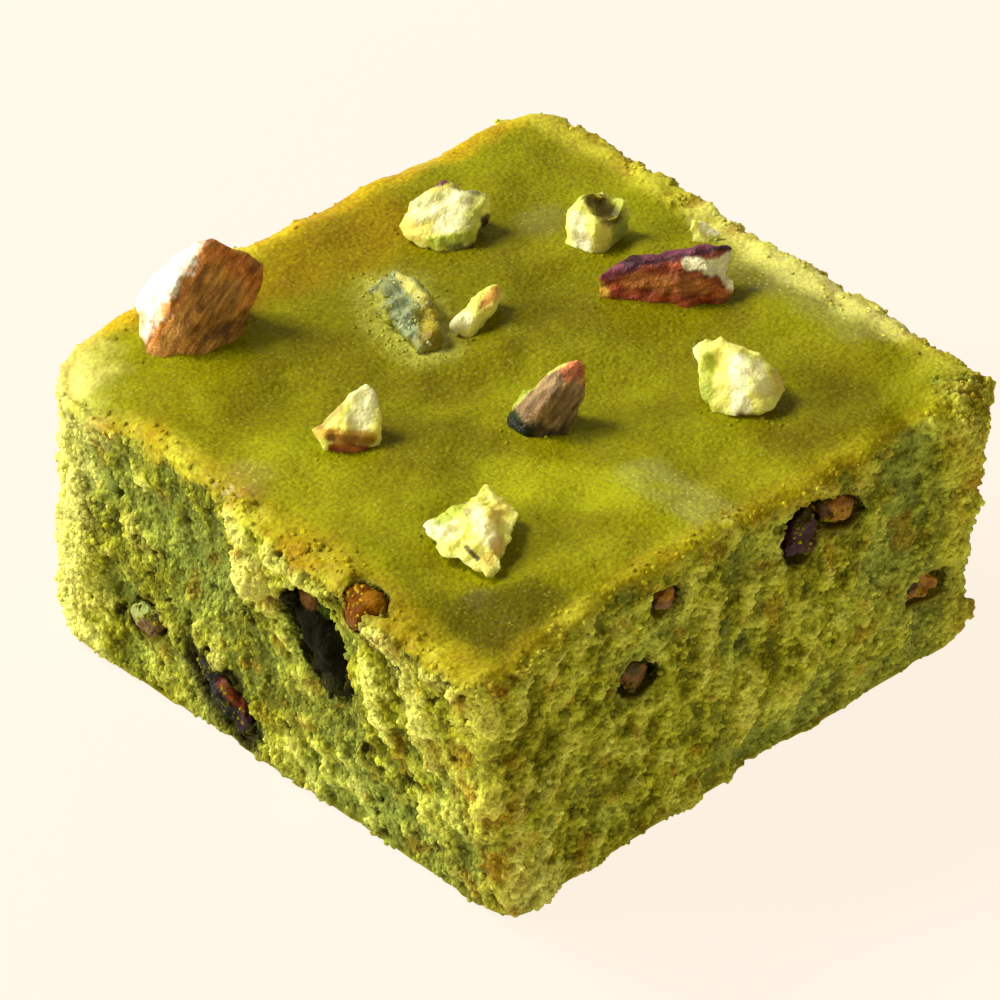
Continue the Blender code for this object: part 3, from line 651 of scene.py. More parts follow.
def scatter_group():
    """Geometry Nodes that set a crumb on random places of a surface, wherever a mask allows it."""
    group = bpy.data.node_groups.new("scattered crumbs", "GeometryNodeTree")
    for label, kind in (
        ("Surface", "NodeSocketGeometry"), ("Crumb", "NodeSocketObject"), ("Mask", "NodeSocketString"),
        ("Spacing", "NodeSocketFloat"), ("Density", "NodeSocketFloat"), ("Smallest", "NodeSocketFloat"),
        ("Largest", "NodeSocketFloat"), ("Dents", "NodeSocketFloat"), ("Sink", "NodeSocketFloat"),
        ("Seed", "NodeSocketInt"),
    ):
        group.interface.new_socket(label, in_out="INPUT", socket_type=kind)
    group.interface.new_socket("Crumbs", in_out="OUTPUT", socket_type="NodeSocketGeometry")

    def add(kind, x, y, values=(), **settings):
        return add_node(group, kind, x, y, values, **settings)

    def join(source, output, target, name):
        group.links.new(source.outputs[output], target.inputs[name])

    given = add("NodeGroupInput", -1200, 0)
    mask = add("GeometryNodeInputNamedAttribute", -1000, -200, data_type="FLOAT")
    join(given, "Mask", mask, "Name")
    spread = add("GeometryNodeDistributePointsOnFaces", -800, 0, distribute_method="POISSON")
    join(given, "Surface", spread, "Mesh")
    join(given, "Spacing", spread, "Distance Min")
    join(given, "Density", spread, "Density Max")
    join(mask, "Attribute", spread, "Density Factor")
    join(given, "Seed", spread, "Seed")
    turn = add("FunctionNodeRandomValue", -800, -300, {"Max": FULL_TURN}, data_type="FLOAT_VECTOR")
    chance = add("FunctionNodeRandomValue", -800, -500, {"Seed": 5}, data_type="FLOAT")
    mostly_small = add("ShaderNodeMath", -620, -500, {1: 1.8}, operation="POWER")
    group.links.new(chance.outputs[1], mostly_small.inputs[0])
    size = add("ShaderNodeMapRange", -440, -500)
    join(mostly_small, "Value", size, "Value")
    join(given, "Smallest", size, "To Min")
    join(given, "Largest", size, "To Max")
    inward = add("ShaderNodeVectorMath", -620, 200, operation="SCALE")
    join(spread, "Normal", inward, "Vector")
    join(given, "Sink", inward, "Scale")
    sunk = add("GeometryNodeSetPosition", -440, 100)
    join(spread, "Points", sunk, "Geometry")
    join(inward, "Vector", sunk, "Offset")
    crumb = add("GeometryNodeObjectInfo", -440, -150)
    join(given, "Crumb", crumb, "Object")
    placed = add("GeometryNodeInstanceOnPoints", -220, 0)
    join(sunk, "Geometry", placed, "Points")
    join(crumb, "Geometry", placed, "Instance")
    group.links.new(turn.outputs[0], placed.inputs["Rotation"])
    group.links.new(size.outputs["Result"], placed.inputs["Scale"])
    tint = add("FunctionNodeRandomValue", -220, -300, {"Seed": 11}, data_type="FLOAT")
    with_tint = add("GeometryNodeStoreNamedAttribute", 0, 0, {"Name": "tint"},
                    data_type="FLOAT", domain="INSTANCE")
    join(placed, "Instances", with_tint, "Geometry")
    group.links.new(tint.outputs[1], with_tint.inputs["Value"])
    real = add("GeometryNodeRealizeInstances", 200, 0)
    join(with_tint, "Geometry", real, "Geometry")
    dents = add("ShaderNodeTexNoise", 200, -300, {"Scale": 1.6 / MM, "Detail": 1.0})
    centred = add("ShaderNodeVectorMath", 380, -300, {1: (0.5, 0.5, 0.5)}, operation="SUBTRACT")
    join(dents, "Color", centred, "Vector")
    deep = add("ShaderNodeVectorMath", 560, -300, operation="SCALE")
    join(centred, "Vector", deep, "Vector")
    join(given, "Dents", deep, "Scale")
    dented = add("GeometryNodeSetPosition", 560, 0)
    join(real, "Geometry", dented, "Geometry")
    join(deep, "Vector", dented, "Offset")
    smooth = add("GeometryNodeSetShadeSmooth", 740, 0)
    join(dented, "Geometry", smooth, "Geometry")
    result = add("NodeGroupOutput", 920, 0)
    join(smooth, "Geometry", result, "Crumbs")
    return group


def scatter(name, surface, model, mask, **values):
    """A piece made of crumbs on a surface, one mesh."""
    piece = bpy.data.objects.new(name, surface.data.copy())
    bpy.context.scene.collection.objects.link(piece)
    for group in surface.vertex_groups:
        piece.vertex_groups.new(name=group.name)
    modifier = piece.modifiers.new("scatter", "NODES")
    modifier.node_group = crumb_nodes
    sockets = {item.name: item.identifier for item in crumb_nodes.interface.items_tree}
    modifier[sockets["Crumb"]] = model
    modifier[sockets["Mask"]] = mask
    for label, value in values.items():
        modifier[sockets[label]] = value
    settle(piece)
    set_places(piece, coordinates(piece))
    piece.vertex_groups.clear()
    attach(piece, "root")
    print("triangles in", name, triangles(piece))
    return piece


ON_SKIN = ("rim_crumbs", "crumbs_by_nuts", "crumbs_by_sunken_nut")
crumb_model = make_crumb()
speck_model = make_speck()
crumb_nodes = scatter_group()
scattered = [
    scatter("coarse_crumbs", fudge, crumb_model, "open_side", Spacing=1.9 * MM, Density=0.2 / MM ** 2,
            Smallest=0.55, Largest=1.0, Dents=0.9 * MM, Sink=-0.26 * MM, Seed=3),
    scatter("round_grains", fudge, crumb_model, "grainy", Spacing=0.85 * MM, Density=0.9 / MM ** 2,
            Smallest=0.3, Largest=0.66, Dents=0.5 * MM, Sink=-0.12 * MM, Seed=1),
    scatter("fine_grains_x", fudge, speck_model, "grainy_x", Spacing=0.34 * MM, Density=14.0 / MM ** 2,
            Smallest=0.2, Largest=0.5, Dents=0.25 * MM, Sink=-0.05 * MM, Seed=2),
    scatter("fine_grains_y", fudge, speck_model, "grainy_y", Spacing=0.34 * MM, Density=14.0 / MM ** 2,
            Smallest=0.2, Largest=0.5, Dents=0.25 * MM, Sink=-0.05 * MM, Seed=7),
    scatter("rim_crumbs", fudge, speck_model, "broken_rim", Spacing=0.5 * MM, Density=3.0 / MM ** 2,
            Smallest=0.2, Largest=0.6, Dents=0.2 * MM, Sink=-0.12 * MM, Seed=4),
    scatter("crumbs_by_nuts", fudge, speck_model, "by_nut", Spacing=0.35 * MM, Density=2.4 / MM ** 2,
            Smallest=0.1, Largest=0.32, Dents=0.1 * MM, Sink=-0.04 * MM, Seed=6),
    scatter("crumbs_by_sunken_nut", fudge, speck_model, "by_sunken_nut", Spacing=0.22 * MM,
            Density=16.0 / MM ** 2, Smallest=0.12, Largest=0.34, Dents=0.15 * MM, Sink=-0.05 * MM, Seed=9),
]

# %% [markdown]
# ## The nuts that stand out of the top
# Broken pistachio kernels have crisp corners, a grainy break, and here and there a thin skin in green, red
# or purple. The solids already give each one its corners. A copy gets the even net, a little smoothing that
# leaves the corners readable, and a fine noise for the break. Then each is painted after the photograph:
# the dabs are placed in the picture's own two directions, right and up from the middle of the nut, and go
# through it, so its far side has the same skins as its near side.

# %% The nuts that stand out of the top
class Kernel(NamedTuple):
    solid: str
    slot: str
    base: str
    dabs: tuple
    finish: str = "kernel"
    rough: float = 0.22
    fibres: tuple = None


KERNELS = {
    "brown_skinned_nut": Kernel("nut_brown_skin", "brown_skin", "fibrous brown", (
        Dab("brown", (0.6, -0.6), 1.1, (2.4, -1.8), 0.35),
        Dab("dark brown", (0.6, -2.4), 0.5, (2.6, -2.2), 0.5),
        # painted highlight along the upper right edge
        Dab("orange", (0.8, 2.9), 0.8, (3.6, 1.0), 0.7),
        Dab("red brown", (1.2, 3.2), 0.3, (3.9, 1.1), 0.3),
        Dab("red brown", (3.9, 0.7), 0.3, (3.3, -1.0), 0.3),
        Dab("orange", (-2.6, -2.8), 0.4, (0.6, 1.8), 0.4),
        Dab("kernel white", (-1.1, 3.2), 1.6, (-4.1, -1.4)),
        Dab("gold", (-3.9, -2.4), 0.5, (-3.4, -1.6), 0.6),
    ), "skin", 0.09, (0.55, 0.83)),
    "green_backed_nut": Kernel("nut_green_back", "pale_kernel", "kernel yellow", (
        Dab("cream", (-1.6, 0.7), 0.9, (0.9, 1.3), 0.8),
        Dab("cream", (-0.6, -0.4), 0.6, (0.8, -0.2), 0.8),
        Dab("kernel green", (1.7, 1.2), 0.5, (1.2, -0.8), 0.6),
        Dab("kernel green", (-1.1, -1.4), 0.4, (1.2, -1.1), 0.9),
        Dab("dark green", (0.2, -1.9), 0.35, (1.3, -1.8), 0.8),
        Dab("dark brown", (1.0, -2.1), 0.4, (1.6, -1.9)),
        Dab("dark green", (1.9, -0.9), 0.3, (2.4, 0.2), 0.9),
        Dab("dark purple", (2.2, 0.0), 0.25, (2.3, -0.5), 0.9),
        Dab("purple", (-1.6, 2.2), 0.3, (-0.3, 2.6)),
        Dab("dark green", (0.4, 2.3), 0.3, (2.0, 1.8), 0.7),
        Dab("gold", (-2.9, -0.4), 0.5, (-2.0, -0.9), 0.5),
    ), "kernel", 0.2),
    "cup_nut": Kernel("nut_cup", "pale_kernel", "kernel yellow", (
        Dab("cream", (-1.2, 0.2), 0.5, (-0.8, -1.3), 0.9),
        Dab("gold", (-0.7, -1.0), 0.2, (-0.5, -0.7), 0.4),
        Dab("kernel green", (1.3, 1.6), 0.6, (1.6, -0.6), 0.9),
        Dab("kernel green", (-1.2, 1.6), 0.4, (-0.6, 1.9), 0.7),
        Dab("leaf green", (1.2, -1.2), 0.35, (1.7, -0.4), 0.5),
        # painted shade in the hollow of the cup, in olive and dark brown
        Dab("shaded olive", (-0.1, 1.5), 0.7, (0.9, 0.5), 0.9),
        Dab("dark brown", (0.2, 1.4), 0.35, (0.7, 0.7), 0.5),
    ), "kernel", 0.2),
    "purple_backed_nut": Kernel("nut_purple_red", "purple_skin", "red brown", (
        Dab("fibrous brown", (-2.6, -0.2), 0.5, (1.8, -0.7), 0.4),
        Dab("orange", (2.0, -0.7), 0.3, (3.6, -1.2), 0.6),
        Dab("purple", (-4.1, 0.4), 0.6, (-1.6, 1.2), 0.8),
        Dab("dark purple", (-2.4, 1.0), 0.6, (3.4, 2.2)),
        Dab("purple", (-1.5, 1.4), 0.45, (3.4, 2.4), 0.8),
        Dab("cream", (0.9, 0.8), 0.35, (3.8, 0.5)),
        Dab("cream", (2.4, 0.5), 0.5, (3.9, 1.1)),
        Dab("cream", (3.2, 0.6), 0.55, (4.1, -0.6)),
        Dab("gold", (-4.5, -0.6), 0.35, (-4.2, -0.9), 0.8),
    ), "skin", 0.16, (0.96, 0.26)),
    "sunken_nut": Kernel("nut_sunken", "coated_kernel", "grey green", (
        Dab("blue green", (-0.9, 1.9), 0.6, (0.1, -0.6), 0.7),
        Dab("crumb green", (-2.0, 1.6), 0.4, (-1.2, -1.0), 0.8),
        Dab("kernel yellow", (-0.6, 2.8), 0.35, (0.9, 1.4), 0.6),
        Dab("top olive", (-0.8, -1.0), 0.4, (0.2, -1.8), 0.7),
        Dab("rim olive", (1.3, 0.4), 0.7, (1.6, -1.5), 0.9),
        Dab("golden olive", (1.2, -0.9), 0.5, (1.7, -1.5), 0.7),
    ), "kernel", 0.4),
    "sliver": Kernel("nut_sliver", "gold_kernel", "kernel yellow", (
        Dab("gold", (0.4, 0.4), 0.3, (1.4, 1.7), 0.6),
        Dab("orange", (1.0, 1.5), 0.25, (0.4, 0.7), 0.6),
        Dab("red brown", (0.1, 0.3), 0.16, (0.3, 0.6), 0.6),
        Dab("cream", (-1.6, -1.1), 0.5, (-0.8, -0.3), 0.9),
    ), "kernel", 0.15),
    "teardrop_nut": Kernel("nut_dark_teardrop", "coated_kernel", "grey purple", (
        Dab("brown", (-0.8, -0.9), 0.6, (0.6, 0.4), 0.4),
        Dab("dark brown", (0.4, -1.2), 0.4, (1.4, 0.4), 0.4),
        # the dark green and black green along the lower edge are partly its dark skin and partly painted
        # shade
        Dab("dark green", (-2.4, -1.0), 0.7, (-1.6, -2.0)),
        Dab("black green", (-2.6, -1.6), 0.7, (0.8, -2.4), 0.8),
        Dab("salmon", (1.3, 1.7), 0.6, (2.3, 2.3), 0.9),
        Dab("orange", (2.1, 1.0), 0.25, (2.4, 1.8), 0.5),
        Dab("black green", (0.9, -1.9), 0.35, (1.8, -0.6), 0.5),
        Dab("kernel green", (-2.3, -0.3), 0.3, (-0.6, 1.4)),
        Dab("pale crumb", (-0.4, 1.6), 0.22, (0.9, 2.2), 0.8),
    ), "skin", 0.16, (0.6, 0.8)),
    "pale_flake": Kernel("nut_pale_flake", "pale_kernel", "kernel yellow", (
        Dab("kernel green", (-1.6, 1.3), 0.5, (-1.9, -1.4), 0.9),
        Dab("cream", (-2.4, 2.0), 0.3, (-2.5, -1.0), 0.4),
        Dab("kernel green", (0.6, 1.6), 0.3, (2.4, 0.6), 0.6),
        Dab("cream", (0.3, 1.0), 0.6, (0.3, -1.6), 0.9),
        Dab("gold", (2.6, 0.4), 0.4, (2.9, -0.8), 0.5),
        Dab("cream", (1.4, 0.8), 0.5, (1.6, -0.4), 0.6),
        Dab("brown", (0.3, -2.3), 0.25, (1.2, -2.3), 0.8),
        Dab("dark brown", (2.3, 1.3), 0.2),
    ), "kernel", 0.18),
    "cream_wedge": Kernel("nut_cream_wedge", "pale_kernel", "kernel yellow", (
        Dab("cream", (0.9, 1.8), 0.8, (0.6, 0.2), 0.75),
        Dab("gold", (-2.0, -0.5), 0.35, (1.2, -0.9)),
        Dab("toasted", (-1.2, -0.9), 0.25, (1.2, -1.1), 0.9),
        Dab("red brown", (-1.2, -1.5), 0.3, (1.0, -1.6)),
        Dab("orange", (-0.9, -1.2), 0.2, (0.6, -1.9), 0.6),
        Dab("brown", (-1.9, -0.2), 0.2, (-0.6, 1.0), 0.6),
    ), "kernel", 0.14),
    "crumbled_nut": Kernel("nut_crumbled", "pale_kernel", "kernel yellow", (
        Dab("cream", (-3.3, 0.5), 0.6, (-1.8, 0.2), 0.9),
        Dab("kernel green", (-2.4, 1.0), 0.6, (-0.4, 2.8), 0.9),
        Dab("leaf green", (-1.6, 2.1), 0.35, (-0.7, 2.9), 0.6),
        Dab("gold", (0.6, 0.6), 0.6, (1.5, 2.0), 0.35),
        Dab("cream", (-0.4, 1.2), 0.5, (0.6, -0.4), 0.7),
        Dab("dark brown", (-0.9, -0.8), 0.16, (-0.2, -1.5), 0.9),
        Dab("gold", (0.4, -1.6), 0.4, (1.2, -0.6), 0.5),
    ), "kernel", 0.36),
    "rim_crumb": Kernel("nut_rim_crumb", "gold_kernel", "kernel yellow", (
        Dab("cream", (0.0, 0.5), 0.4, (0.6, 0.3)), Dab("kernel green", (0.6, -0.4), 0.4),
    ), "kernel", 0.3),
}
KERNEL_NET = 0.13 * MM
break_grain = pattern("break", "CLOUDS", 0.7 * MM, noise_depth=3)
break_chips = pattern("chips", "VORONOI", 1.1 * MM, distance_metric="MANHATTAN")


def sculpted_copy(solid, name, roughness, swell):
    """A copy of a nut's solid with an even net, softened facets and a rough break, and grown by swell."""
    piece = copy_of_solid(solid, name)
    lay_even_net(piece, KERNEL_NET, 4)
    push(piece, break_grain, roughness * MM, 0.45 - swell / roughness)
    push(piece, break_chips, -roughness * MM, 0.4)
    settle(piece)
    bpy.ops.object.shade_smooth()
    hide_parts(solid)
    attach(piece, "root")
    return piece


def picture_places(piece):
    """Right and up in the picture from the middle of a piece, in millimetres."""
    places = coordinates(piece)
    places -= (places.min(axis=0) + places.max(axis=0)) / 2
    return numpy.column_stack((places @ numpy.array(RIGHT), places @ numpy.array(PICTURE_UP))) / MM


def fibre_shade(seen, direction):
    """Fine light and dark lines along a direction, as papery skin has."""
    right, up = direction
    along = seen @ numpy.array((right, up)) / 1.3
    across = seen @ numpy.array((-up, right))
    coarse = cloud(numpy.column_stack((along, across / 0.4, along * 0.3)), 1.0)
    fine = cloud(numpy.column_stack((along, across / 0.17, along * 0.5)), 1.0, 7.0)
    return 1.0 + numpy.clip(coarse * 0.4 + fine * 0.9, -0.5, 0.8)


def painted_nut(name, kernel, swell):
    """A nut with its own shape and colours, grown on every side by swell in millimetres."""
    piece = sculpted_copy(kernel.solid, name, kernel.rough, swell)
    seen = picture_places(piece)
    colours = numpy.tile(numpy.array(PALETTE[kernel.base]), (len(seen), 1))
    fray = cloud(coordinates(piece), 0.7 * MM) * 0.4 + cloud(coordinates(piece), 0.25 * MM) * 0.25
    colours = dabbed(colours, kernel.dabs, seen, fray)
    if kernel.fibres:
        papery = step(0.7, 0.4, colours[:, 1])
        colours *= 1.0 + (fibre_shade(seen, kernel.fibres)[:, None] - 1.0) * papery[:, None]
    store_dye(piece, colours)
    return piece


def all_painted(kernels, swells, other_swell):
    """All the nuts of a table; swells has the millimetres of those that don't take other_swell."""
    nuts = {}
    for name, kernel in kernels.items():
        nuts[name] = painted_nut(name, kernel, swells.get(name, other_swell))
    return nuts


TOP_SWELL = {"sunken_nut": 0.3}
top_nuts = all_painted(KERNELS, TOP_SWELL, other_swell=0.0)
print("triangles in the nuts on top:", sum(triangles(nut) for nut in top_nuts.values()))

# %% [markdown]
# ## The nuts that the knife cut through
# On the sides the knife went through nuts as well. They are darker, because they sit in holes, and their
# cut faces are smoother than a break. Fudge sticks to them, and to the nut that has sunk into the top, so
# these nuts are dusted: copies of them are joined into one throw-away piece, and grains are scattered on
# it in the same way as before.

# %% The nuts that the knife cut through
CUT_KERNELS = {
    "cut_dark_nut": Kernel("cut_nut_dark", "dark_kernel", "black green", (
        Dab("brown", (-2.2, 2.4), 0.5, (-1.6, 1.4), 0.8),
        Dab("leaf green", (-1.0, 1.2), 0.2, (-0.5, 0.6), 0.7),
        Dab("dark green", (0.2, -0.4), 0.4, (0.9, -1.4), 0.5),
    ), "dark", 0.2),
    "cut_amber_nut": Kernel("cut_nut_amber", "amber_kernel", "amber", (
        Dab("toasted", (0.2, 0.9), 0.5, (0.9, 0.1), 0.7),
        Dab("brown", (-0.8, -0.8), 0.5, (0.6, -1.0), 0.6),
    ), "amber", 0.26),
    "cut_low_nut": Kernel("cut_nut_low", "dark_kernel", "dark brown", (
        Dab("black green", (-1.6, 1.4), 0.8, (1.4, -2.2)),
        Dab("red brown", (-0.2, 0.6), 0.35, (1.2, -0.9), 0.8),
        Dab("dark purple", (1.2, -1.6), 0.5, (1.9, -2.2)),
    ), "skin", 0.3),
    "cut_grey_bit": Kernel("cut_bit_grey", "coated_kernel", "grey green", (
        Dab("shade and grey bit green", (-0.4, 0.6), 0.4, (0.2, 0.4), 0.8),
        Dab("brown", (-0.2, -0.6), 0.6, (0.8, -0.7), 0.9),
    ), "kernel", 0.34),
    "cut_purple_nut": Kernel("cut_nut_purple", "dark_kernel", "dark brown", (
        Dab("dark purple", (-0.4, -0.9), 0.7, (0.2, 0.3)),
        Dab("pit", (0.4, 0.8), 0.4, (0.6, 1.2), 0.8),
    ), "skin", 0.34),
    "cut_tan_nut": Kernel("cut_nut_tan", "amber_kernel", "toasted", (
        Dab("dark brown", (-0.9, 0.2), 0.5, (-0.6, -0.4), 0.9),
        Dab("amber", (0.1, 0.4), 0.5, (0.8, 0.5), 0.7),
    ), "skin", 0.34),
    "cut_brown_bit": Kernel("cut_bit_brown", "brown_bit", "brown", (
        Dab("pit", (0.3, 0.3), 0.6),
    ), "skin", 0.34),
    "cut_rim_bit": Kernel("cut_bit_rim", "brown_bit", "brown", (
        Dab("toasted", (0.2, 0.2), 0.5),
    ), "skin", 0.34),
    "cut_far_bit": Kernel("cut_bit_far", "brown_bit", "toasted", (
        Dab("dark brown", (-0.4, 0.0), 0.7),
    ), "skin", 0.34),
    "cut_nut_behind_right": Kernel("cut_nut_behind", "dark_kernel", "red brown", (
        Dab("kernel green", (0.0, 0.0), 1.0, (0.8, 0.4)),
    ), "skin", 0.14),
    "cut_bit_behind_right": Kernel("cut_bit_behind", "brown_bit", "brown", (
        Dab("gold", (0.2, 0.2), 0.6),
    ), "skin", 0.14),
    "cut_nut_behind_left": Kernel("cut_nut_back", "dark_kernel", "dark purple", (
        Dab("kernel green", (0.0, 0.0), 1.1, (-0.6, 0.4)),
    ), "skin", 0.14),
    "cut_bit_behind_left": Kernel("cut_bit_back", "brown_bit", "brown", (
        Dab("dark brown", (0.4, 0.2), 0.6),
    ), "skin", 0.14),
}
CUT_SWELL = {"cut_dark_nut": 0.75, "cut_amber_nut": 0.3, "cut_low_nut": 0.0}
cut_nuts = all_painted(CUT_KERNELS, CUT_SWELL, other_swell=-0.08)
print("triangles in the cut nuts:", sum(triangles(nut) for nut in cut_nuts.values()))


def joined_copy(pieces, name):
    """One throw-away piece with the meshes of several."""
    bpy.ops.object.select_all(action="DESELECT")
    for piece in pieces:
        copy = bpy.data.objects.new(name, piece.data.copy())
        bpy.context.scene.collection.objects.link(copy)
        copy.select_set(True)
        bpy.context.view_layer.objects.active = copy
    bpy.ops.object.join()
    return bpy.context.object


def dust(pieces, name, density, largest, shaded_colour, lit_colour):
    """Fudge grains that stick to nuts, in one colour or the other."""
    dusty = joined_copy(pieces, "dusty_surface")
    places = coordinates(dusty)
    dusty.data.color_attributes.remove(dusty.data.color_attributes["dye"])
    store_dye(dusty, blended(shaded_colour, lit_colour, step(-0.5, 0.5, cloud(places, 0.7 * MM))))
    add_group(dusty, "dusty", step(-0.2, 0.2, cloud(places, 1.1 * MM, 4.0)))
    grains = scatter(name, dusty, speck_model, "dusty", Spacing=0.16 * MM, Density=density / MM ** 2,
                     Smallest=0.14, Largest=largest, Dents=0.2 * MM, Sink=-0.07 * MM, Seed=8)
    bpy.data.objects.remove(dusty, do_unlink=True)
    return grains


bits = [nut for name, nut in cut_nuts.items() if name not in ("cut_dark_nut", "cut_amber_nut")]
scattered.append(dust(bits, "grains_on_cut_nuts", 20.0, 0.4, "pit", "top olive"))
amber_nut = [cut_nuts["cut_amber_nut"]]
scattered.append(dust(amber_nut, "grains_on_amber_nut", 24.0, 0.42, "toasted", "rim olive"))
sunken_nut = [top_nuts["sunken_nut"]]
scattered.append(dust(sunken_nut, "grains_on_sunken_nut", 40.0, 0.36, "top olive", "sage"))
bpy.data.objects.remove(crumb_model, do_unlink=True)
bpy.data.objects.remove(speck_model, do_unlink=True)

# %% [markdown]
# ## Effects that the materials share
# Fudge and nuts need the same few effects, so each is a shader node group that is built once: mottling,
# which makes a colour lighter and darker in patches, grain, a height for a Bump node, and painted glints,
# a mask of tiny specks where the fudge's colour is lightened as if sugar caught the light. They read
# Object coordinates, which are metres on the object, so their sizes are real.

# %% Effects that the materials share
def ranged(tree, source, x, y, before, after):
    """A value carried from one range to another, and held inside it."""
    node = add_node(tree, "ShaderNodeMapRange", x, y, {
        "From Min": before[0], "From Max": before[1], "To Min": after[0], "To Max": after[1]})
    tree.links.new(source, node.inputs["Value"])
    return node.outputs["Result"]


def new_effect(name, inputs, outputs):
    """An empty shader node group with named sockets, its input node and its output node."""
    group = bpy.data.node_groups.new(name, "ShaderNodeTree")
    for label, kind, value in inputs:
        socket = group.interface.new_socket(label, in_out="INPUT", socket_type=kind)
        socket.default_value = value
    for label, kind in outputs:
        group.interface.new_socket(label, in_out="OUTPUT", socket_type=kind)
    return group, add_node(group, "NodeGroupInput", -900, 0), add_node(group, "NodeGroupOutput", 700, 0)


def mottle_effect():
    """A colour made lighter and darker in patches of a given size."""
    group, given, result = new_effect(
        "mottle",
        (("Colour", "NodeSocketColor", (0.5, 0.5, 0.5, 1)), ("Patches per metre", "NodeSocketFloat", 500.0),
         ("Amount", "NodeSocketFloat", 0.2), ("Hue drift", "NodeSocketFloat", 0.01)),
        (("Colour", "NodeSocketColor"),),
    )
    links = group.links
    place = add_node(group, "ShaderNodeTexCoord", -900, -300)
    patches = add_node(group, "ShaderNodeTexNoise", -700, -200, {"Detail": 3.0, "Roughness": 0.6})
    links.new(place.outputs["Object"], patches.inputs["Vector"])
    links.new(given.outputs["Patches per metre"], patches.inputs["Scale"])
    centred = add_node(group, "ShaderNodeMath", -500, -200, {1: 0.5}, operation="SUBTRACT")
    links.new(patches.outputs["Fac"], centred.inputs[0])
    bright = add_node(group, "ShaderNodeMath", -300, -200, operation="MULTIPLY")
    links.new(centred.outputs[0], bright.inputs[0])
    links.new(given.outputs["Amount"], bright.inputs[1])
    brightness = add_node(group, "ShaderNodeMath", -100, -200, {1: 4.0, 2: 1.0}, operation="MULTIPLY_ADD")
    links.new(bright.outputs[0], brightness.inputs[0])
    drift = add_node(group, "ShaderNodeMath", -300, -400, operation="MULTIPLY")
    links.new(centred.outputs[0], drift.inputs[0])
    links.new(given.outputs["Hue drift"], drift.inputs[1])
    hue = add_node(group, "ShaderNodeMath", -100, -400, {1: 4.0, 2: 0.5}, operation="MULTIPLY_ADD")
    links.new(drift.outputs[0], hue.inputs[0])
    mixed = add_node(group, "ShaderNodeHueSaturation", 300, 0)
    links.new(given.outputs["Colour"], mixed.inputs["Color"])
    links.new(brightness.outputs[0], mixed.inputs["Value"])
    links.new(hue.outputs[0], mixed.inputs["Hue"])
    links.new(mixed.outputs["Color"], result.inputs["Colour"])
    return group


def grain_effect():
    """The height of fine grains, as domes with dents."""
    group, given, result = new_effect(
        "grain", (("Grains per metre", "NodeSocketFloat", 2500.0),), (("Height", "NodeSocketFloat"),))
    links = group.links
    place = add_node(group, "ShaderNodeTexCoord", -900, -300)
    cells = add_node(group, "ShaderNodeTexVoronoi", -500, 100, {"Randomness": 1.0}, feature="F1")
    links.new(place.outputs["Object"], cells.inputs["Vector"])
    links.new(given.outputs["Grains per metre"], cells.inputs["Scale"])
    dents = add_node(group, "ShaderNodeTexNoise", -500, -200, {"Detail": 2.0})
    links.new(place.outputs["Object"], dents.inputs["Vector"])
    links.new(given.outputs["Grains per metre"], dents.inputs["Scale"])
    height = add_node(group, "ShaderNodeMath", -100, 0, operation="SUBTRACT")
    links.new(dents.outputs["Fac"], height.inputs[0])
    links.new(cells.outputs["Distance"], height.inputs[1])
    links.new(height.outputs[0], result.inputs["Height"])
    return group


def painted_glints_effect():
    """A mask of painted glints: tiny specks at random places, only some of them lit."""
    group, given, result = new_effect(
        "painted_glints", (("Specks per metre", "NodeSocketFloat", 3000.0),), (("Mask", "NodeSocketFloat"),))
    links = group.links
    place = add_node(group, "ShaderNodeTexCoord", -900, -300)
    cells = add_node(group, "ShaderNodeTexVoronoi", -600, 0, feature="F1")
    links.new(place.outputs["Object"], cells.inputs["Vector"])
    links.new(given.outputs["Specks per metre"], cells.inputs["Scale"])
    spot = ranged(group, cells.outputs["Distance"], -300, 100, (0.4, 0.1), (0.0, 1.0))
    chance = add_node(group, "ShaderNodeSeparateColor", -300, -200)
    links.new(cells.outputs["Color"], chance.inputs["Color"])
    lit = ranged(group, chance.outputs["Red"], -100, -200, (0.4, 1.0), (0.0, 1.0))
    both = add_node(group, "ShaderNodeMath", 200, 0, operation="MULTIPLY")
    links.new(spot, both.inputs[0])
    links.new(lit, both.inputs[1])
    links.new(both.outputs[0], result.inputs["Mask"])
    return group


mottle = mottle_effect()
grain = grain_effect()
painted_glints = painted_glints_effect()

# %% [markdown]
# ## The materials
# Milk fudge and nut kernels let some light in, so both use the subsurface part of the Principled shader
# with a short reach. The base colour of every material starts from the painted dye. The fudge gets painted
# shade in its cracks and painted light on its crests, it is duller on the cut than on the skin, and a thin
# coat shines where the sheen was painted. The grains vary by their tint, less so on the skin, where a dark
# one would look like a hole.

# %% The materials
def new_material(name, roughness, subsurface=0.0, reach=0.6, **shader_values):
    """A Principled material; gives the material, its node tree and its shader."""
    material = bpy.data.materials.new(name)
    material.use_nodes = True
    tree = material.node_tree
    shader = tree.nodes["Principled BSDF"]
    shader.location = (600, 0)
    tree.nodes["Material Output"].location = (900, 0)
    shader.inputs["Roughness"].default_value = roughness
    shader.inputs["Subsurface Weight"].default_value = subsurface
    shader.inputs["Subsurface Scale"].default_value = reach * MM
    shader.inputs["Subsurface Radius"].default_value = (1.0, 0.8, 0.25)
    for socket, value in shader_values.items():
        shader.inputs[socket.replace("_", " ")].default_value = value
    return material, tree, shader


def attribute(tree, name, x, y):
    return add_node(tree, "ShaderNodeAttribute", x, y, attribute_name=name)


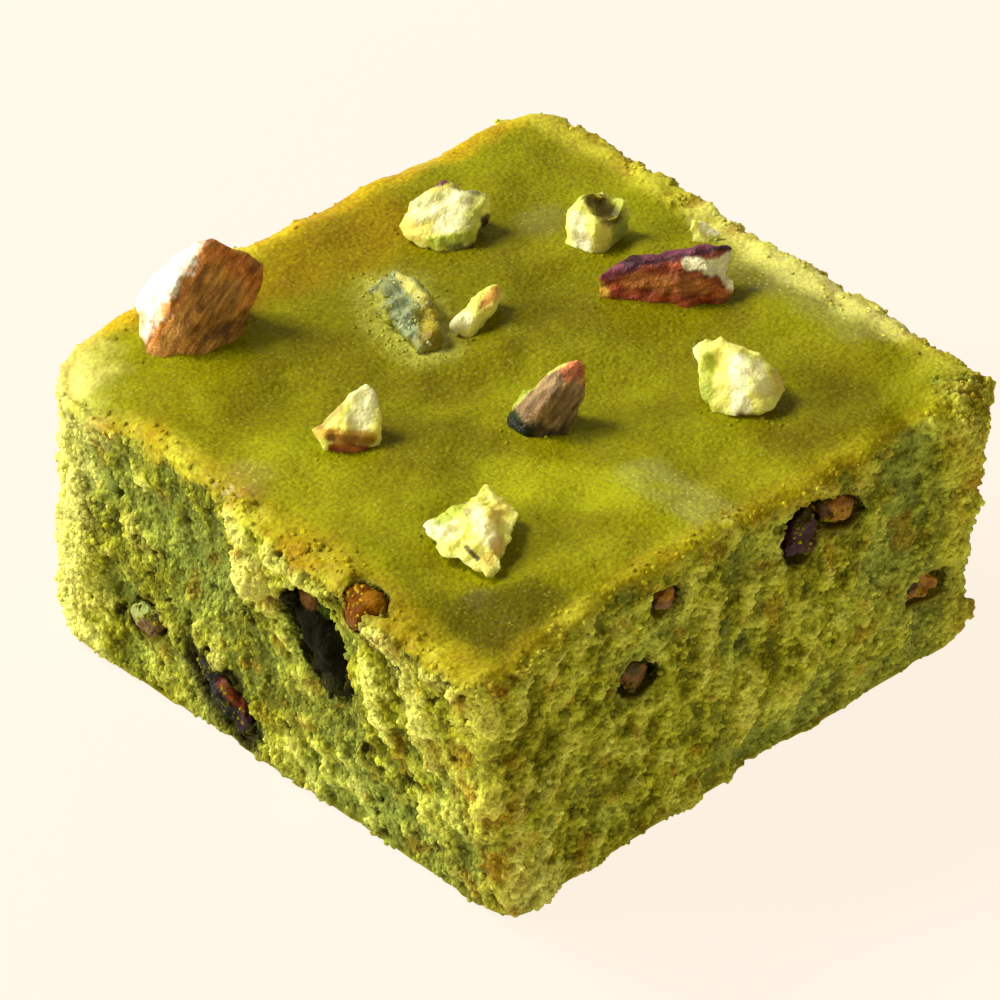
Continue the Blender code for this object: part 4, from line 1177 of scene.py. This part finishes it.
def mottled(tree, source, x, y, patch, amount, drift):
    """Runs a colour through the mottle effect, with patches of a size in millimetres."""
    node = add_node(tree, "ShaderNodeGroup", x, y, node_tree=mottle)
    node.inputs["Patches per metre"].default_value = 1 / (patch * MM)
    node.inputs["Amount"].default_value = amount
    node.inputs["Hue drift"].default_value = drift
    tree.links.new(source, node.inputs["Colour"])
    return node.outputs["Colour"]


def grain_bump(tree, shader, size, strength, depth, strength_from=None):
    """A Bump node from the grain effect, with grains of a size in millimetres."""
    heights = add_node(tree, "ShaderNodeGroup", 100, -500, node_tree=grain)
    heights.inputs["Grains per metre"].default_value = 1 / (size * MM)
    bump = add_node(tree, "ShaderNodeBump", 350, -400, {"Strength": strength, "Distance": depth * MM})
    tree.links.new(heights.outputs["Height"], bump.inputs["Height"])
    if strength_from:
        tree.links.new(strength_from, bump.inputs["Strength"])
    tree.links.new(bump.outputs["Normal"], shader.inputs["Normal"])


def scaled_colour(tree, colour, factor, x, y):
    """A colour times a value, so that the value can darken or lighten it."""
    node = add_node(tree, "ShaderNodeVectorMath", x, y, operation="SCALE")
    tree.links.new(colour, node.inputs["Vector"])
    tree.links.new(factor, node.inputs["Scale"])
    return node.outputs["Vector"]


def painted_glints_on(tree, colour, torn, sheen):
    """Paints glints: lightens a colour at tiny specks, most of all where the skin shines."""
    specks = add_node(tree, "ShaderNodeGroup", -400, 500, node_tree=painted_glints)
    specks.inputs["Specks per metre"].default_value = 1 / (0.3 * MM)
    skin = ranged(tree, torn, -400, 700, (0.0, 0.5), (0.22, 0.0))
    strength = add_node(tree, "ShaderNodeMath", -200, 600, {1: 0.5}, operation="MULTIPLY_ADD")
    tree.links.new(sheen, strength.inputs[0])
    tree.links.new(skin, strength.inputs[2])
    share = add_node(tree, "ShaderNodeMath", 0, 500, operation="MULTIPLY")
    tree.links.new(specks.outputs["Mask"], share.inputs[0])
    tree.links.new(strength.outputs[0], share.inputs[1])
    lighter = add_node(tree, "ShaderNodeMix", 200, 400, data_type="RGBA")
    lighter.inputs[7].default_value = (*PALETTE["pale crumb"], 1)
    tree.links.new(share.outputs[0], lighter.inputs[0])
    tree.links.new(colour, lighter.inputs[6])
    return lighter.outputs[2]


def fudge_material():
    material, tree, shader = new_material(
        "fudge", roughness=0.5, subsurface=0.2, reach=0.8, Specular_IOR_Level=0.05, Coat_Roughness=0.3)
    dye = attribute(tree, "dye", -900, 200)
    relief_value = attribute(tree, "relief", -900, -100)
    torn = attribute(tree, "cut", -900, -300)
    sheen = attribute(tree, "sheen", -900, -500)
    broad = mottled(tree, dye.outputs["Color"], -650, 200, patch=5.0, amount=0.16, drift=0.012)
    fine = mottled(tree, broad, -400, 200, patch=0.3, amount=0.26, drift=0.02)
    # painted shade and light: on the torn sides the colour is darker in the cracks of the relief and
    # lighter on its crests
    shade = ranged(tree, relief_value.outputs["Fac"], -400, -100, (0.15, 0.9), (0.8, 1.12))
    torn_shade = add_node(tree, "ShaderNodeMix", -150, -100, {2: 1.0}, data_type="FLOAT")
    tree.links.new(torn.outputs["Fac"], torn_shade.inputs[0])
    tree.links.new(shade, torn_shade.inputs[3])
    shaded = scaled_colour(tree, fine, torn_shade.outputs[0], 100, 100)
    with_painted_glints = painted_glints_on(tree, shaded, torn.outputs["Fac"], sheen.outputs["Fac"])
    tree.links.new(with_painted_glints, shader.inputs["Base Color"])
    roughness = ranged(tree, torn.outputs["Fac"], 100, -200, (0.0, 1.0), (0.42, 0.8))
    tree.links.new(roughness, shader.inputs["Roughness"])
    coat = ranged(tree, sheen.outputs["Fac"], 300, -200, (0.0, 1.0), (0.0, 0.55))
    tree.links.new(coat, shader.inputs["Coat Weight"])
    graininess = ranged(tree, torn.outputs["Fac"], 100, -350, (0.0, 1.0), (0.3, 1.0))
    grain_bump(tree, shader, size=0.32, strength=0.4, depth=0.2, strength_from=graininess)
    return material


def grain_material(name, darkest, lightest):
    """Loose grains in the colour of the place where they lie, some darker and some lighter."""
    material, tree, shader = new_material(name, roughness=0.75, Specular_IOR_Level=0.08)
    dye = attribute(tree, "dye", -900, 200)
    tint = attribute(tree, "tint", -900, -100)
    fine = mottled(tree, dye.outputs["Color"], -500, 200, patch=0.6, amount=0.15, drift=0.02)
    shade = ranged(tree, tint.outputs["Fac"], -500, -100, (0.0, 1.0), (darkest, lightest))
    tree.links.new(scaled_colour(tree, fine, shade, 100, 100), shader.inputs["Base Color"])
    grain_bump(tree, shader, size=0.14, strength=0.7, depth=0.08)
    return material


def nut_material(name, roughness, patch, amount, subsurface=0.0, reach=0.5, **shader_values):
    """A painted nut with mottling and a fine break."""
    material, tree, shader = new_material(name, roughness, subsurface, reach, **shader_values)
    dye = attribute(tree, "dye", -900, 200)
    broad = mottled(tree, dye.outputs["Color"], -600, 200, patch, amount, drift=0.01)
    fine = mottled(tree, broad, -300, 200, patch / 4, amount * 0.7, drift=0.01)
    tree.links.new(fine, shader.inputs["Base Color"])
    grain_bump(tree, shader, size=0.2, strength=0.5, depth=0.1)
    return material


fudge.data.materials.append(fudge_material())
torn_grains = grain_material("grains", darkest=0.68, lightest=1.48)
skin_grains = grain_material("grains on the skin", darkest=1.0, lightest=1.6)
for piece in scattered:
    piece.data.materials.clear()
    piece.data.materials.append(skin_grains if piece.name in ON_SKIN else torn_grains)
finishes = {
    "kernel": nut_material("kernel", roughness=0.45, patch=1.0, amount=0.07,
                           subsurface=0.5, reach=0.9, Specular_IOR_Level=0.3),
    "skin": nut_material("papery skin", roughness=0.5, patch=0.6, amount=0.24, Specular_IOR_Level=0.2),
    "dark": nut_material("dark kernel", roughness=0.4, patch=0.8, amount=0.30, Specular_IOR_Level=0.02),
    "amber": nut_material("amber kernel", roughness=0.35, patch=0.9, amount=0.15,
                          subsurface=0.1, reach=1.0, Specular_IOR_Level=0.05),
}
for name, kernel in {**KERNELS, **CUT_KERNELS}.items():
    piece = {**top_nuts, **cut_nuts}[name]
    piece.data.materials.append(finishes[kernel.finish])

# %% [markdown]
# ## Floor, light and camera
# The photograph shows the square alone on a pale cream ground. The light is soft and comes from high behind
# the left shoulder of the block, so the side at -Y is darker than the side at -X. The camera stands far
# off with a long lens, which keeps the upright edges almost parallel.

# %% Floor, light and camera
def floor_material():
    material, tree, shader = new_material("cream ground", 0.9)
    ground = add_node(tree, "ShaderNodeRGB", -900, 200)
    ground.outputs[0].default_value = (*linear(60, 60, 60), 1)
    colour = mottled(tree, ground.outputs[0], -500, 200, patch=30.0, amount=0.01, drift=0.0)
    tree.links.new(colour, shader.inputs["Base Color"])
    shader.inputs["Emission Color"].default_value = (*linear(255, 243, 228), 1)
    shader.inputs["Emission Strength"].default_value = 0.96
    return material


def soft_light(name, place, power, size, colour):
    """A square lamp that looks at the block."""
    bpy.ops.object.light_add(type="AREA", location=place)
    light = bpy.context.object
    light.name = name
    light.data.energy = power
    light.data.size = size
    light.data.color = colour
    towards = Vector((0, 0, 0.01)) - Vector(place)
    light.rotation_euler = towards.to_track_quat("-Z", "Y").to_euler()


bpy.ops.object.select_all(action="DESELECT")
bpy.ops.mesh.primitive_grid_add(x_subdivisions=4, y_subdivisions=4, size=1.6, location=(0, 0, 0))
floor = bpy.context.object
floor.name = "floor"
floor.data.materials.append(floor_material())

soft_light("window", (-0.16, 0.42, 0.46), power=4.2, size=0.20, colour=(1.0, 0.96, 0.82))
soft_light("back_window", (0.36, 0.38, 0.38), power=0.4, size=0.30, colour=(1.0, 0.97, 0.90))
soft_light("left_window", (-0.50, 0.36, 0.22), power=3.3, size=0.22, colour=(1.0, 1.0, 1.0))
soft_light("room", (-0.10, -0.60, 0.26), power=0.95, size=0.5, colour=(1.0, 0.92, 0.62))
world = bpy.data.worlds.new("pale room")
world.use_nodes = True
world.node_tree.nodes["Background"].inputs["Color"].default_value = (*linear(255, 246, 226), 1)
world.node_tree.nodes["Background"].inputs["Strength"].default_value = 0.12
bpy.context.scene.world = world

CAMERA_DISTANCE = 0.400
LOOK_AT = Vector((-0.24, -1.32, 9.5)) * MM
camera_data = bpy.data.cameras.new("camera")
camera_data.sensor_width = 36
camera_data.lens = 232.56
camera_data.shift_x = -0.022
camera_data.shift_y = 0.011
camera_data.clip_start = 0.01
camera = bpy.data.objects.new("camera", camera_data)
bpy.context.scene.collection.objects.link(camera)
camera.location = LOOK_AT + TO_CAMERA * CAMERA_DISTANCE
camera.rotation_euler = (math.radians(90) - LOOK_HEIGHT, 0, LOOK_TURN)
bpy.context.scene.camera = camera
bpy.context.scene.view_settings.view_transform = "Standard"
